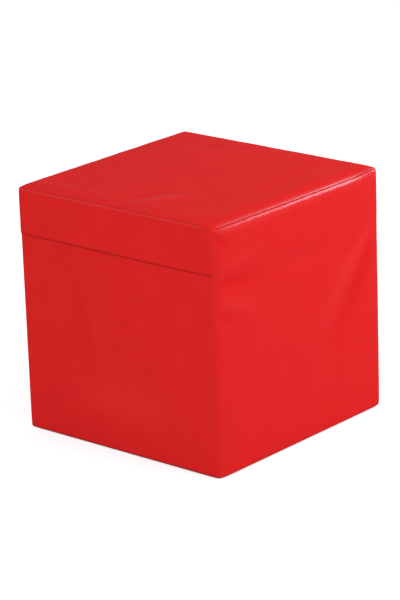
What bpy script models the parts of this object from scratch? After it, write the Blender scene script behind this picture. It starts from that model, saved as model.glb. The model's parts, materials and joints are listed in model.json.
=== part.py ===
"""Foam spotting block: three foam slabs in a sewn cover of coated fabric.

Frame: the origin is the middle of the base and +Z is up. A zip under a flap runs round the -Y, -X and +Y
sides. The lid of the cover folds back about a line on the +X side, between the two ends of the zip, as far
as 170 degrees. Depths are measured inwards from the flat faces of the closed cover, before they are
crowned.
"""
import math
from dataclasses import dataclass

import bmesh
import bpy
from mathutils import Matrix, Vector

# Block, measured over its edges
BLOCK_LENGTH = 0.600
BLOCK_WIDTH = 0.600
BLOCK_HEIGHT = 0.600
EDGE_RADIUS = 0.010
SIDE_CROWN = 0.0025
TOP_CROWN = 0.003
SEAM_DEPTH = 0.001
SEAM_REACH = 0.004
CORNER_DEPTH = 0.0015
CORNER_REACH = 0.012

# Cover
FABRIC = 0.0008
FIT = 0.0003
FOAM_FIT = 0.0005
FLAP_EDGE_DROP = 0.1135
FLAP_SAG = 0.003
SAG_PEAK = 0.7
FLAP_COVERS = 0.0055
FOLD_AXIS_OUT = 0.0005

# Foam
BASE_SLAB_HEIGHT = 0.080

# Zip, with heights counted from its centre line
ZIP_ABOVE_FLAP_EDGE = 0.0135
ZIP_CORNER_RADIUS = 0.014
ZIP_SHORT_OF_FOLD = 0.017
TAPE = 0.0006
TAPE_SEWN_FROM = 0.0134
TAPE_SEWN_TO = 0.028
TAPE_SLOPE_FROM = 0.0076
COIL_HEIGHT = 0.0025
COIL_THICKNESS = 0.0018
COIL_GAP = 0.0018
COIL_CHAMFER = 0.00045

# Slider and puller
PLATE = 0.0008
PLATE_LENGTH = 0.022
PLATE_WIDE_END = 0.013
PLATE_NARROW_END = 0.0094
PLATE_WAIST = 0.0124
PLATE_NOSE = 0.0078
PLATE_SHOULDER = 0.0032
PLATE_COIL_GAP = 0.00025
NECK_LENGTH = 0.005
NECK_GAP = 0.0003
BAIL = 0.0008
BAIL_WIDTH = 0.003
BAIL_LENGTH = 0.012
BAIL_LEG = 0.0012
PULLER = 0.0008
PULLER_LENGTH = 0.034
PULLER_WIDTH = 0.008
PULLER_BAR = 0.0015
PULLER_CHAMFER = 0.0016
PULLER_TIP_LENGTH = 0.004
PULLER_TIP_SHOULDER = 0.0064
PULLER_TIP_WIDTH = 0.0032
PULLER_EYE_LENGTH = 0.005
PULLER_EYE_WIDTH = 0.0044
SLIDER_END_GAP = 0.002
STOP_LENGTH = 0.004
STOP_HEIGHT = 0.0075
STOP_THICKNESS = 0.0034
STOP_CHAMFER = 0.0006

# Where things lie, from the sizes above
HALF_LENGTH = BLOCK_LENGTH / 2
HALF_WIDTH = BLOCK_WIDTH / 2
STEP = FABRIC + FIT
BEHIND_BANDS = STEP
BEHIND_SIDES = 2 * STEP
FOLD_Z = BLOCK_HEIGHT - FLAP_EDGE_DROP
FOLD_X = HALF_LENGTH + FOLD_AXIS_OUT
ZIP_Z = FOLD_Z + ZIP_ABOVE_FLAP_EDGE
ZIP_END_X = HALF_LENGTH - ZIP_SHORT_OF_FOLD
BAIL_DEPTH = BEHIND_BANDS
PULLER_DEPTH = BAIL_DEPTH + BAIL + FIT
FRONT_PLATE_DEPTH = PULLER_DEPTH + PULLER + FIT
COIL_DEPTH = FRONT_PLATE_DEPTH + PLATE + PLATE_COIL_GAP
COIL_BACK = COIL_DEPTH + COIL_THICKNESS
BACK_PLATE_DEPTH = COIL_BACK + PLATE_COIL_GAP
CHANNEL_DEPTH = BACK_PLATE_DEPTH + PLATE + FIT
TAPE_DEPTH = COIL_DEPTH + (COIL_THICKNESS - TAPE) / 2

# How finely the forms are drawn
ROLL_STEPS = 3
CROWN_STEPS = 6
CORNER_STEPS = 6
BAND_STEPS = 3
BASE_STEPS = 2
FOAM_STEPS = 4
SWING_STEPS = 192
SWING_EDGE_STEPS = 4
MITRE_TRIM = 0.0003
SAME_PLACE = 0.00003
WELD = 0.000001
SHARP_ANGLE = math.radians(40)
LEVEL_NORMAL = 0.9

# The axes of the frame, as places in a vector, and the two ways along each
X, Y, Z = range(3)
PLUS, MINUS = 1, -1


@dataclass(frozen=True)
class Face:
    """One face of the block: its fixed axis and side, and the two axes that run over it."""

    fixed: int
    side: int
    across: int
    up: int
    flip: bool


LEFT = Face(fixed=Y, side=MINUS, across=X, up=Z, flip=False)
RIGHT = Face(fixed=Y, side=PLUS, across=X, up=Z, flip=True)
FRONT = Face(fixed=X, side=PLUS, across=Y, up=Z, flip=False)
REAR = Face(fixed=X, side=MINUS, across=Y, up=Z, flip=True)
TOP = Face(fixed=Z, side=PLUS, across=X, up=Y, flip=False)
BASE = Face(fixed=Z, side=MINUS, across=X, up=Y, flip=True)


@dataclass(frozen=True)
class Form:
    """A box with rounded edges, seams drawn in along them, and crowned faces."""

    low: Vector
    high: Vector
    crown_to: float
    crowns: dict

    def limit(self, face):
        return self.low[face.fixed] if face.side == MINUS else self.high[face.fixed]

    def drawn_in(self, point):
        """How far the seams pull a point of the sharp box in, at its edges and corners."""
        gaps = [min(point[i] - self.low[i], self.high[i] - point[i]) for i in (X, Y, Z)]
        _, from_edge, from_corner = sorted(gaps)
        seam = max(0.0, 1 - from_edge / SEAM_REACH)
        corner = max(0.0, 1 - from_corner / CORNER_REACH)
        return SEAM_DEPTH * seam * seam + CORNER_DEPTH * corner * corner

    def bulge(self, point, face):
        """The crown of one face at a point of it, which fades to nothing at its edges."""
        rise = self.crowns.get(face, 0.0)
        for axis in (face.across, face.up):
            top = self.crown_to if axis == Z else self.high[axis]
            middle = (self.low[axis] + top) / 2
            share = (point[axis] - middle) / (top - middle)
            rise *= max(0.0, 1 - share * share)
        return rise

    def settle(self, point, depth=0.0):
        """The place of a point of the sharp box on the form, or under its surface."""
        inner = Vector(
            min(max(point[i], self.low[i] + EDGE_RADIUS), self.high[i] - EDGE_RADIUS) for i in (X, Y, Z)
        )
        under = depth + self.drawn_in(point)
        place = inner + (point - inner).normalized() * (EDGE_RADIUS - under)
        for face in self.crowns:
            if abs(point[face.fixed] - self.limit(face)) < SAME_PLACE:
                place[face.fixed] += face.side * self.bulge(point, face)
        return place


LID_FORM = Form(
    low=Vector((-HALF_LENGTH, -HALF_WIDTH, 0)),
    high=Vector((HALF_LENGTH, HALF_WIDTH, BLOCK_HEIGHT)),
    crown_to=BLOCK_HEIGHT,
    crowns={TOP: TOP_CROWN},
)
BODY_FORM = Form(
    low=Vector((-HALF_LENGTH + STEP, -HALF_WIDTH + STEP, 0)),
    high=Vector((HALF_LENGTH, HALF_WIDTH - STEP, BLOCK_HEIGHT)),
    crown_to=FOLD_Z,
    crowns={LEFT: SIDE_CROWN, RIGHT: SIDE_CROWN, REAR: SIDE_CROWN, FRONT: SIDE_CROWN - STEP},
)


def clear_scene():
    for old in list(bpy.data.objects):
        bpy.data.objects.remove(old, do_unlink=True)


def new_collection(name):
    collection = bpy.data.collections.new(name)
    bpy.context.scene.collection.children.link(collection)
    return collection


def finish(name, colour, roughness, metallic=0.0):
    material = bpy.data.materials.new(name)
    material.use_nodes = True
    shader = material.node_tree.nodes["Principled BSDF"]
    shader.inputs["Base Color"].default_value = (*colour, 1)
    shader.inputs["Roughness"].default_value = roughness
    shader.inputs["Metallic"].default_value = metallic
    return material


def add_object(name, data, collection, material=None, parent=None):
    """Adds an object whose mesh is drawn in the block's frame, and hangs it on its parent."""
    thing = bpy.data.objects.new(name, data)
    collection.objects.link(thing)
    if material:
        data.materials.append(material)
    if parent:
        thing.parent = parent
        thing.matrix_parent_inverse = Matrix.Translation(parent.location).inverted()
    return thing


def add_empty(name, place, collection):
    empty = bpy.data.objects.new(name, None)
    empty.location = place
    collection.objects.link(empty)
    return empty


def mesh_from(bm, name):
    mesh = bpy.data.meshes.new(name)
    bm.to_mesh(mesh)
    bm.free()
    mesh.shade_smooth()
    mesh.set_sharp_from_angle(angle=SHARP_ANGLE)
    return mesh


def roll_rows():
    """Distances from an edge at which the rounding is cut into equal angles."""
    turn = math.radians(45) / ROLL_STEPS
    return [EDGE_RADIUS * (1 - math.tan(turn * step)) for step in range(ROLL_STEPS, -1, -1)]


def rows_between(low, high, steps):
    return [low + (high - low) * step / steps for step in range(1, steps)]


def rows(low, high, low_edge=True, high_edge=True, steps=CROWN_STEPS):
    """Coordinates of the rows of a panel, close together where it rolls over an edge."""
    start = [low + gap for gap in roll_rows()] if low_edge else [low]
    end = [high - gap for gap in reversed(roll_rows())] if high_edge else [high]
    return start + rows_between(start[-1], end[0], steps) + end


def trimmed(values, low_edge=True, high_edge=True):
    """The same rows, held back from the seam at each end that has one."""
    values = list(values)
    if low_edge:
        values[0] += MITRE_TRIM
    if high_edge:
        values[-1] -= MITRE_TRIM
    return values


def lay_panel(name, form, face, across, up, edge=None):
    """A sheet over part of one face, with an optional rule for the height of one of its edges."""
    bm = bmesh.new()
    columns, lines = len(across) - 1, len(up) - 1
    bmesh.ops.create_grid(bm, x_segments=columns, y_segments=lines, size=1)
    for vert in bm.verts:
        column = round((vert.co.x + 1) / 2 * columns)
        line = round((vert.co.y + 1) / 2 * lines)
        point = Vector()
        point[face.fixed] = form.limit(face)
        point[face.across] = across[column]
        point[face.up] = up[line] if edge is None else edge(across[column], up[line])
        vert.co = form.settle(point)
    if face.flip:
        bmesh.ops.reverse_faces(bm, faces=bm.faces)
    return mesh_from(bm, name)


def thicken(panel):
    shell = panel.modifiers.new("Fabric", "SOLIDIFY")
    shell.thickness = FABRIC
    shell.offset = -1


def sag(share):
    """How far the free edge of the flap hangs down, for a share of its length from 0 to 1."""
    bend = math.log(0.5) / math.log(SAG_PEAK)
    return FLAP_SAG * math.sin(math.pi * share ** bend)


def add_bands(group, red, lid):
    """The upper bands, whose lower edges hang free as the flap over the zip."""
    up = trimmed(rows(FOLD_Z, BLOCK_HEIGHT, low_edge=False, steps=BAND_STEPS), low_edge=False)
    for name, face in (("lid_band_left", LEFT), ("lid_band_rear", REAR), ("lid_band_right", RIGHT)):
        low, high = LID_FORM.low[face.across], LID_FORM.high[face.across]

        def free_edge(across, height, low=low, high=high):
            share = min(max((across - low) / (high - low), 0.0), 1.0)
            return height - sag(share) if height == FOLD_Z else height

        mesh = lay_panel(name, LID_FORM, face, trimmed(rows(low, high)), up, free_edge)
        thicken(add_object(name, mesh, group, red, lid))


def add_side_panels(group, red):
    """The side panels, whose upper edges lie behind the flap and stop short of the fold."""
    zip_sides = (("side_panel_left", LEFT), ("side_panel_rear", REAR), ("side_panel_right", RIGHT))
    up = trimmed(rows(0, FOLD_Z + FLAP_COVERS, high_edge=False), high_edge=False)
    top = up[-1]
    for name, face in zip_sides:
        across = trimmed(rows(BODY_FORM.low[face.across], BODY_FORM.high[face.across]))
        if face.across == X:
            fold_end = HALF_LENGTH - EDGE_RADIUS
            across = sorted(across + [fold_end - EDGE_RADIUS])
        else:
            fold_end = math.inf

        def covered_edge(across, height, fold_end=fold_end):
            return FOLD_Z - FIT / 2 if height == top and across > fold_end - FIT else height

        mesh = lay_panel(name, BODY_FORM, face, across, up, covered_edge)
        thicken(add_object(name, mesh, group, red))


def add_front_panels(group, red, lid):
    """The unbroken +X skin, as two pieces that meet at the fold."""
    lower = lay_panel(
        "front_panel_lower",
        BODY_FORM,
        FRONT,
        trimmed(rows(BODY_FORM.low.y, BODY_FORM.high.y)),
        trimmed(rows(0, FOLD_Z - FIT / 2, high_edge=False), high_edge=False),
    )
    thicken(add_object("front_panel_lower", lower, group, red))
    upper = lay_panel(
        "front_panel_upper",
        LID_FORM,
        FRONT,
        trimmed(rows(LID_FORM.low.y, LID_FORM.high.y)),
        trimmed(rows(FOLD_Z + FIT / 2, BLOCK_HEIGHT, low_edge=False, steps=BAND_STEPS), low_edge=False),
    )
    thicken(add_object("front_panel_upper", upper, group, red, lid))


def add_flat_panels(group, red, grip, lid):
    """The crowned top panel, and the base panel, which lies flat on the floor."""
    across = trimmed(rows(LID_FORM.low.x, LID_FORM.high.x))
    up = trimmed(rows(LID_FORM.low.y, LID_FORM.high.y))
    top = lay_panel("top_panel", LID_FORM, TOP, across, up)
    thicken(add_object("top_panel", top, group, red, lid))
    across = trimmed(rows(BODY_FORM.low.x, BODY_FORM.high.x, steps=BASE_STEPS))
    up = trimmed(rows(BODY_FORM.low.y, BODY_FORM.high.y, steps=BASE_STEPS))
    base = lay_panel("base_panel", BODY_FORM, BASE, across, up)
    thicken(add_object("base_panel", base, group, grip))


def foam_slab(name, form, low, high, group, material, low_edge=False, high_edge=False):
    """A slab cut to the form inside the cover, flat where it meets the next slab."""
    sides = [rows(form.low.x, form.high.x), rows(form.low.y, form.high.y)]
    sides.append(rows(low, high, low_edge=low_edge, high_edge=high_edge, steps=FOAM_STEPS))
    start = Vector((form.low.x, form.low.y, low))
    end = Vector((form.high.x, form.high.y, high))
    bm = bmesh.new()
    bmesh.ops.create_cube(bm, size=1, matrix=Matrix.LocRotScale((start + end) / 2, None, end - start))
    for axis, cuts in enumerate(sides):
        normal = Vector((axis == X, axis == Y, axis == Z))
        for cut in cuts[1:-1]:
            parts = bm.verts[:] + bm.edges[:] + bm.faces[:]
            bmesh.ops.bisect_plane(bm, geom=parts, plane_co=normal * cut, plane_no=normal)
    joints = [face for face in bm.faces if flat_joint(face, form)]
    bmesh.ops.dissolve_faces(bm, faces=joints)
    for vert in bm.verts:
        vert.co = form.settle(vert.co, FABRIC + FOAM_FIT)
    return add_object(name, mesh_from(bm, name), group, material)


def flat_joint(face, form):
    """Whether a face of a slab lies inside the block, where it meets another slab."""
    level = face.calc_center_median().z
    inside = form.low.z + FIT < level < form.high.z - FIT
    return inside and abs(face.normal.z) > LEVEL_NORMAL


def zip_route(depth):
    """Points round the three zip sides at a depth, with round corners about fixed centres."""
    radius = ZIP_CORNER_RADIUS - depth
    centre = Vector((HALF_LENGTH - ZIP_CORNER_RADIUS, HALF_WIDTH - ZIP_CORNER_RADIUS))
    points = [Vector((ZIP_END_X, -HALF_WIDTH + depth))]
    for side, first in ((MINUS, 270), (PLUS, 180)):
        for step in range(CORNER_STEPS + 1):
            turn = math.radians(first - 90 * step / CORNER_STEPS)
            corner = Vector((-centre.x, side * centre.y))
            points.append(corner + Vector((math.cos(turn), math.sin(turn))) * radius)
    points.append(Vector((ZIP_END_X, HALF_WIDTH - depth)))
    return points


def flat_outline(name, points, thickness, group):
    """A closed outline as a curve with the given thickness."""
    curve = bpy.data.curves.new(name, "CURVE")
    curve.dimensions = "2D"
    curve.fill_mode = "BOTH"
    curve.extrude = thickness / 2
    spline = curve.splines.new("POLY")
    spline.points.add(len(points) - 1)
    for point, (x, y) in zip(spline.points, points):
        point.co = (x, y, 0, 1)
    spline.use_cyclic_u = True
    thing = bpy.data.objects.new(name, curve)
    group.objects.link(thing)
    return thing


def sweep_round(name, section, cutters, overrun=0.0):
    """A mesh of a section drawn round the three zip sides. Its points are (depth, height) pairs."""
    profile = flat_outline(name + "_section", section, 0, cutters)
    profile.data.fill_mode = "NONE"
    route = bpy.data.curves.new(name + "_route", "CURVE")
    route.dimensions = "3D"
    route.twist_mode = "Z_UP"
    route.bevel_mode = "OBJECT"
    route.bevel_object = profile
    route.use_fill_caps = True
    points = zip_route(0)
    points[0].x += overrun
    points[-1].x += overrun
    spline = route.splines.new("POLY")
    spline.points.add(len(points) - 1)
    for target, point in zip(spline.points, points):
        target.co = (point.x, point.y, ZIP_Z, 1)
    carrier = bpy.data.objects.new(name + "_route", route)
    cutters.objects.link(carrier)
    mesh = solid_mesh(carrier, name)
    bpy.data.objects.remove(profile, do_unlink=True)
    return mesh


def solid_mesh(carrier, name):
    """The closed mesh of a curve object, which is then removed."""
    bpy.context.view_layer.update()
    evaluated = carrier.evaluated_get(bpy.context.evaluated_depsgraph_get())
    mesh = bpy.data.meshes.new_from_object(evaluated)
    bm = bmesh.new()
    bm.from_mesh(mesh)
    bm.transform(carrier.matrix_world)
    bmesh.ops.remove_doubles(bm, verts=bm.verts, dist=WELD)
    bmesh.ops.recalc_face_normals(bm, faces=bm.faces)
    bpy.data.objects.remove(carrier, do_unlink=True)
    bpy.data.meshes.remove(mesh)
    return mesh_from(bm, name)


def tape_section(side, sewn_depth):
    """Outline of one tape and its coil: sewn edge, slope into the channel, coil at the centre line."""
    near = COIL_GAP / 2
    far = near + COIL_HEIGHT
    outline = [
        (sewn_depth, TAPE_SEWN_TO),
        (sewn_depth, TAPE_SEWN_FROM),
        (TAPE_DEPTH, TAPE_SLOPE_FROM),
        (TAPE_DEPTH, far),
        (COIL_DEPTH, far - COIL_CHAMFER),
        (COIL_DEPTH, near + COIL_CHAMFER),
        (COIL_DEPTH + COIL_CHAMFER, near),
        (COIL_BACK - COIL_CHAMFER, near),
        (COIL_BACK, near + COIL_CHAMFER),
        (COIL_BACK, far - COIL_CHAMFER),
        (TAPE_DEPTH + TAPE, far),
        (TAPE_DEPTH + TAPE, TAPE_SLOPE_FROM),
        (sewn_depth + TAPE, TAPE_SEWN_FROM),
        (sewn_depth + TAPE, TAPE_SEWN_TO),
    ]
    return [(depth, side * height) for depth, height in outline]


def add_tapes(group, cutters, black, lid):
    upper = sweep_round("zip_tape_upper", tape_section(PLUS, BEHIND_BANDS), cutters)
    add_object("zip_tape_upper", upper, group, black, lid)
    lower = sweep_round("zip_tape_lower", tape_section(MINUS, BEHIND_SIDES), cutters)
    add_object("zip_tape_lower", lower, group, black)


def as_cutter(name, mesh, cutters):
    cutter = add_object(name, mesh, cutters)
    cutter.hide_render = True
    cutter.display_type = "WIRE"
    return cutter


def use_cutter(thing, cutter, operation):
    cut = thing.modifiers.new(cutter.name, "BOOLEAN")
    cut.operation = operation
    cut.object = cutter
    cut.solver = "EXACT"


def zip_channel(cutters):
    """The room that the zip and its slider take out of the foam."""
    outside = -2 * FABRIC
    behind_tape = BEHIND_SIDES + TAPE + FIT
    reach = PLATE_WIDE_END / 2 + NECK_LENGTH / 2
    section = [
        (outside, -TAPE_SEWN_TO - FIT),
        (behind_tape, -TAPE_SEWN_TO - FIT),
        (behind_tape, -TAPE_SEWN_FROM),
        (CHANNEL_DEPTH, -reach),
        (CHANNEL_DEPTH, reach),
        (outside, reach),
    ]
    mesh = sweep_round("zip_channel", section, cutters, overrun=2 * ZIP_SHORT_OF_FOLD)
    return as_cutter("zip_channel", mesh, cutters)


def lid_swing(cutters):
    """The space that the lid never enters as it folds back: a drum about the fold."""
    clear = COIL_BACK + FIT
    bm = bmesh.new()
    turn = Matrix.Translation((FOLD_X, 0, FOLD_Z)) @ Matrix.Rotation(math.radians(90), 4, "X")
    bmesh.ops.create_cone(
        bm,
        cap_ends=True,
        segments=SWING_STEPS,
        radius1=FOLD_X + HALF_LENGTH - clear,
        radius2=FOLD_X + HALF_LENGTH - clear,
        depth=2 * (HALF_WIDTH - clear),
        matrix=turn,
    )
    rims = [edge for edge in bm.edges if any(len(face.verts) > 4 for face in edge.link_faces)]
    bmesh.ops.bevel(
        bm,
        geom=rims,
        offset=ZIP_CORNER_RADIUS - clear,
        offset_type="OFFSET",
        segments=SWING_EDGE_STEPS,
        profile=0.5,
        affect="EDGES",
    )
    return as_cutter("lid_swing", mesh_from(bm, "lid_swing"), cutters)


def add_foam(group, cutters, firm, core, dense):
    """Three slabs. The upper two are cut back on the zip sides, where the zip and the lid pass."""
    channel = zip_channel(cutters)
    foam_slab("foam_base_slab", BODY_FORM, 0, BASE_SLAB_HEIGHT, group, firm, low_edge=True)
    low = BASE_SLAB_HEIGHT + FIT
    block = foam_slab("foam_core_block", BODY_FORM, low, ZIP_Z - FIT / 2, group, core)
    use_cutter(block, channel, "DIFFERENCE")
    low = ZIP_Z + FIT / 2
    slab = foam_slab("foam_top_slab", LID_FORM, low, BLOCK_HEIGHT, group, dense, high_edge=True)
    use_cutter(slab, lid_swing(cutters), "INTERSECT")
    use_cutter(slab, channel, "DIFFERENCE")


def upright(name, points, depth, thickness, place, group):
    """A flat piece in the plane of the +Y zip, as a closed mesh. Its points are (x, height) pairs."""
    carrier = flat_outline(name, points, thickness, group)
    carrier.rotation_euler.x = math.radians(90)
    carrier.location = (place, HALF_WIDTH - depth - thickness / 2, ZIP_Z)
    return solid_mesh(carrier, name)


def box_outline(low, high, width):
    return [(low, -width / 2), (high, -width / 2), (high, width / 2), (low, width / 2)]


def plate_outline():
    """Shield shape of a slider plate, wide at the end that closes the zip."""
    nose = PLATE_LENGTH / 2
    upper = [
        (nose, PLATE_NOSE / 2),
        (nose - PLATE_SHOULDER, PLATE_WIDE_END / 2),
        (0, PLATE_WAIST / 2),
        (-nose, PLATE_NARROW_END / 2),
    ]
    return [(x, -height) for x, height in reversed(upper)] + upper


def add_slider(group, cutters, metal, carriage):
    """Two plates on a neck between the coils, with a bail over the front plate."""
    place = slider_place()
    plate = upright("zip_slider", plate_outline(), FRONT_PLATE_DEPTH, PLATE, place, group)
    slider = add_object("zip_slider", plate, group, metal, carriage)
    inside = PLATE / 2
    neck_width = COIL_GAP - 2 * NECK_GAP
    nose = PLATE_LENGTH / 2
    leg = BAIL_LENGTH / 2
    pieces = {
        "back_plate": (plate_outline(), BACK_PLATE_DEPTH, PLATE),
        "neck": (
            box_outline(nose - NECK_LENGTH - FIT, nose - FIT, neck_width),
            FRONT_PLATE_DEPTH + inside,
            BACK_PLATE_DEPTH - FRONT_PLATE_DEPTH,
        ),
        "bail_strap": (box_outline(-leg, leg, BAIL_WIDTH), BAIL_DEPTH, BAIL),
        "bail_leg_rear": (
            box_outline(-leg, -leg + BAIL_LEG, BAIL_WIDTH - FIT),
            BAIL_DEPTH + BAIL / 2,
            FRONT_PLATE_DEPTH - BAIL_DEPTH,
        ),
        "bail_leg_front": (
            box_outline(leg - BAIL_LEG, leg - FIT, BAIL_WIDTH - FIT),
            BAIL_DEPTH + BAIL / 2,
            FRONT_PLATE_DEPTH - BAIL_DEPTH,
        ),
    }
    for name, (outline, depth, thickness) in pieces.items():
        mesh = upright(name, outline, depth, thickness, place, cutters)
        use_cutter(slider, as_cutter(name, mesh, cutters), "UNION")


def slider_place():
    return ZIP_END_X - SLIDER_END_GAP - PLATE_LENGTH / 2


def add_puller(group, cutters, metal, carriage):
    """A flat tab along the zip, with an eye round the rear leg of the bail."""
    bar = -BAIL_LENGTH / 2 + BAIL_LEG + FIT
    eye = bar - PULLER_EYE_LENGTH
    tip = bar + PULLER_BAR - PULLER_LENGTH
    head = bar + PULLER_BAR
    upper = [
        (tip, PULLER_TIP_WIDTH / 2),
        (tip + PULLER_TIP_LENGTH, PULLER_TIP_SHOULDER / 2),
        (head - PULLER_CHAMFER, PULLER_WIDTH / 2),
        (head, PULLER_WIDTH / 2 - PULLER_CHAMFER),
    ]
    outline = [(x, -height) for x, height in upper] + upper[::-1]
    mesh = upright("zip_puller", outline, PULLER_DEPTH, PULLER, slider_place(), group)
    puller = add_object("zip_puller", mesh, group, metal, carriage)
    hole = box_outline(eye, bar, PULLER_EYE_WIDTH)
    mesh = upright("puller_eye", hole, PULLER_DEPTH - PULLER, 3 * PULLER, slider_place(), cutters)
    use_cutter(puller, as_cutter("puller_eye", mesh, cutters), "DIFFERENCE")


def add_stops(group, metal):
    """A small block against each end of the lower tape."""
    depth = COIL_DEPTH + (COIL_THICKNESS - STOP_THICKNESS) / 2
    for name, side in (("zip_stop_closed", PLUS), ("zip_stop_open", MINUS)):
        bm = bmesh.new()
        size = Vector((STOP_LENGTH, STOP_THICKNESS, STOP_HEIGHT))
        middle = Vector(
            (
                ZIP_END_X + FIT + STOP_LENGTH / 2,
                side * (HALF_WIDTH - depth - STOP_THICKNESS / 2),
                ZIP_Z - STOP_HEIGHT / 2,
            )
        )
        bmesh.ops.create_cube(bm, size=1, matrix=Matrix.LocRotScale(middle, None, size))
        bmesh.ops.bevel(bm, geom=bm.edges[:], offset=STOP_CHAMFER, segments=1, affect="EDGES")
        add_object(name, mesh_from(bm, name), group, metal)


def build():
    clear_scene()
    group = new_collection("spotting_block")
    cutters = new_collection("cutters")
    red = finish("red_coated_fabric", (0.72, 0.02, 0.02), 0.42)
    grip = finish("dark_grip_fabric", (0.02, 0.02, 0.022), 0.85)
    firm = finish("firm_foam", (0.55, 0.56, 0.58), 0.95)
    core = finish("core_foam", (0.82, 0.80, 0.70), 0.95)
    dense = finish("dense_foam", (0.25, 0.32, 0.45), 0.95)
    black = finish("zip_tape", (0.02, 0.02, 0.02), 0.8)
    metal = finish("zip_metal", (0.55, 0.55, 0.56), 0.3, metallic=1.0)
    lid = add_empty("lid_fold_axis", (FOLD_X, 0, FOLD_Z), group)
    carriage = add_empty("zip_slider_place", (slider_place(), HALF_WIDTH - COIL_DEPTH, ZIP_Z), group)
    add_flat_panels(group, red, grip, lid)
    add_front_panels(group, red, lid)
    add_side_panels(group, red)
    add_bands(group, red, lid)
    add_foam(group, cutters, firm, core, dense)
    add_tapes(group, cutters, black, lid)
    add_slider(group, cutters, metal, carriage)
    add_puller(group, cutters, metal, carriage)
    add_stops(group, metal)


build()
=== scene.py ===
"""Looks of the foam spotting block: its sewn cover, the zip under the flap, the foam and a studio.

Everything is in metres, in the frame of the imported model: the origin is the middle of the base
and +Z is up. The lid of the cover folds back over the +X side. The zip runs round the -Y, -X and
+Y sides.
"""

import json
import logging
import math
from dataclasses import dataclass, replace
from enum import Enum
from typing import Optional, Sequence, Union

import bmesh
import bpy
import numpy as np
from mathutils import Matrix, Vector, noise


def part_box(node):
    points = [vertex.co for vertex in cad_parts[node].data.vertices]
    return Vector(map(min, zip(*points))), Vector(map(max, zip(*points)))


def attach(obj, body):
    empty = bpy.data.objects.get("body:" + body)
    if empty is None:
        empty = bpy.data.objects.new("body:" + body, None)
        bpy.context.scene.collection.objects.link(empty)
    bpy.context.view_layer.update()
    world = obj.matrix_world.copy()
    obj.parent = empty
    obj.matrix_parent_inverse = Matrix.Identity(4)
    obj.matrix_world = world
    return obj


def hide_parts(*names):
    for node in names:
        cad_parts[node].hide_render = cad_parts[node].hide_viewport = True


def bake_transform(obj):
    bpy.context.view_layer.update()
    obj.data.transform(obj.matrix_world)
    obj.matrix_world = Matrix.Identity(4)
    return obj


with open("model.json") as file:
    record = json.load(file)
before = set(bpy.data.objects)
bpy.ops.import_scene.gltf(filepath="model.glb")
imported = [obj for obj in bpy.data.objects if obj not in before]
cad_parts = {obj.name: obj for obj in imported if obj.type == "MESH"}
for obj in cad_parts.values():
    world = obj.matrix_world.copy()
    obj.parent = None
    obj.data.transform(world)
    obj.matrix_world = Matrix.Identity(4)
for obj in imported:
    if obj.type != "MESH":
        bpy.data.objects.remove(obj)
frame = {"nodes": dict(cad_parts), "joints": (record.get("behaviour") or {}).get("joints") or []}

log = logging.getLogger("spotting_block")
Array = np.ndarray
Pair = tuple[float, float]
Colour = tuple[float, float, float]
Thing = bpy.types.Object
Mesh = bpy.types.Mesh
Material = bpy.types.Material
MM = 0.001
CLOTH_MAP = "cloth"


class Face(Enum):
    """A face of the block: its fixed axis, its side of it, and the two axes that run over it."""

    LEFT = (1, -1, 0, 2)
    RIGHT = (1, 1, 0, 2)
    FRONT = (0, 1, 1, 2)
    REAR = (0, -1, 1, 2)
    TOP = (2, 1, 0, 1)
    BASE = (2, -1, 0, 1)

    def __init__(self, fixed: int, side: int, across: int, up: int) -> None:
        """Keeps the parts of the value under plain names.

        Args:
            fixed: The fixed axis: 0 for X, 1 for Y or 2 for Z.
            side: 1 on the positive side of the block, -1 on the other.
            across: The first axis over the face.
            up: The second axis over the face.
        """
        self.fixed = fixed
        self.side = side
        self.across = across
        self.up = up

    @property
    def flipped(self) -> bool:
        """Whether a sheet laid across and up has its back outwards.

        Returns:
            True if it has.
        """
        turn = Vector.Fill(3, 0.0), Vector.Fill(3, 0.0)
        turn[0][self.across] = turn[1][self.up] = 1.0
        return turn[0].cross(turn[1])[self.fixed] * self.side < 0


@dataclass(frozen=True)
class BlockSizes:
    """Sizes that the sub-assemblies share."""

    half_length: float
    half_width: float
    height: float
    fold_x: float
    fold_z: float
    top_crown: float = 3.0 * MM
    side_crown: float = 2.5 * MM
    fabric: float = 0.8 * MM
    fit: float = 0.3 * MM
    edge_radius: float = 6.0 * MM
    flap_covers: float = 5.5 * MM
    zip_above_fold: float = 13.5 * MM

    @classmethod
    def from_frame(cls) -> "BlockSizes":
        """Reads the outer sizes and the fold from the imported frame.

        Returns:
            The block's sizes.
        """
        fold = next(joint for joint in frame["joints"] if joint["name"] == "lid_fold")["pos_m"]
        return cls(
            half_length=-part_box("lid_band_rear")[0].x,
            half_width=-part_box("lid_band_left")[0].y,
            height=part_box("top_panel")[1].z - cls.top_crown,
            fold_x=fold[0],
            fold_z=fold[2],
        )

    @property
    def step(self) -> float:
        """How far the side panels lie behind the bands."""
        return self.fabric + self.fit

    @property
    def zip_z(self) -> float:
        """Height of the zip's centre line."""
        return self.fold_z + self.zip_above_fold


def smoothstep(start: float, end: float, value: Array) -> Array:
    """Rises smoothly from 0 at start to 1 at end."""
    share = np.clip((value - start) / (end - start), 0.0, 1.0)
    return share * share * (3 - 2 * share)


def fading(away: Array, reach: float) -> Array:
    """Falls from 1 towards 0 over a reach."""
    return np.exp(-away / reach)


def bell(away: Array, width: Union[Array, float]) -> Array:
    """Falls from 1 at 0 to both sides over a width."""
    return np.exp(-((away / width) ** 2))


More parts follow.
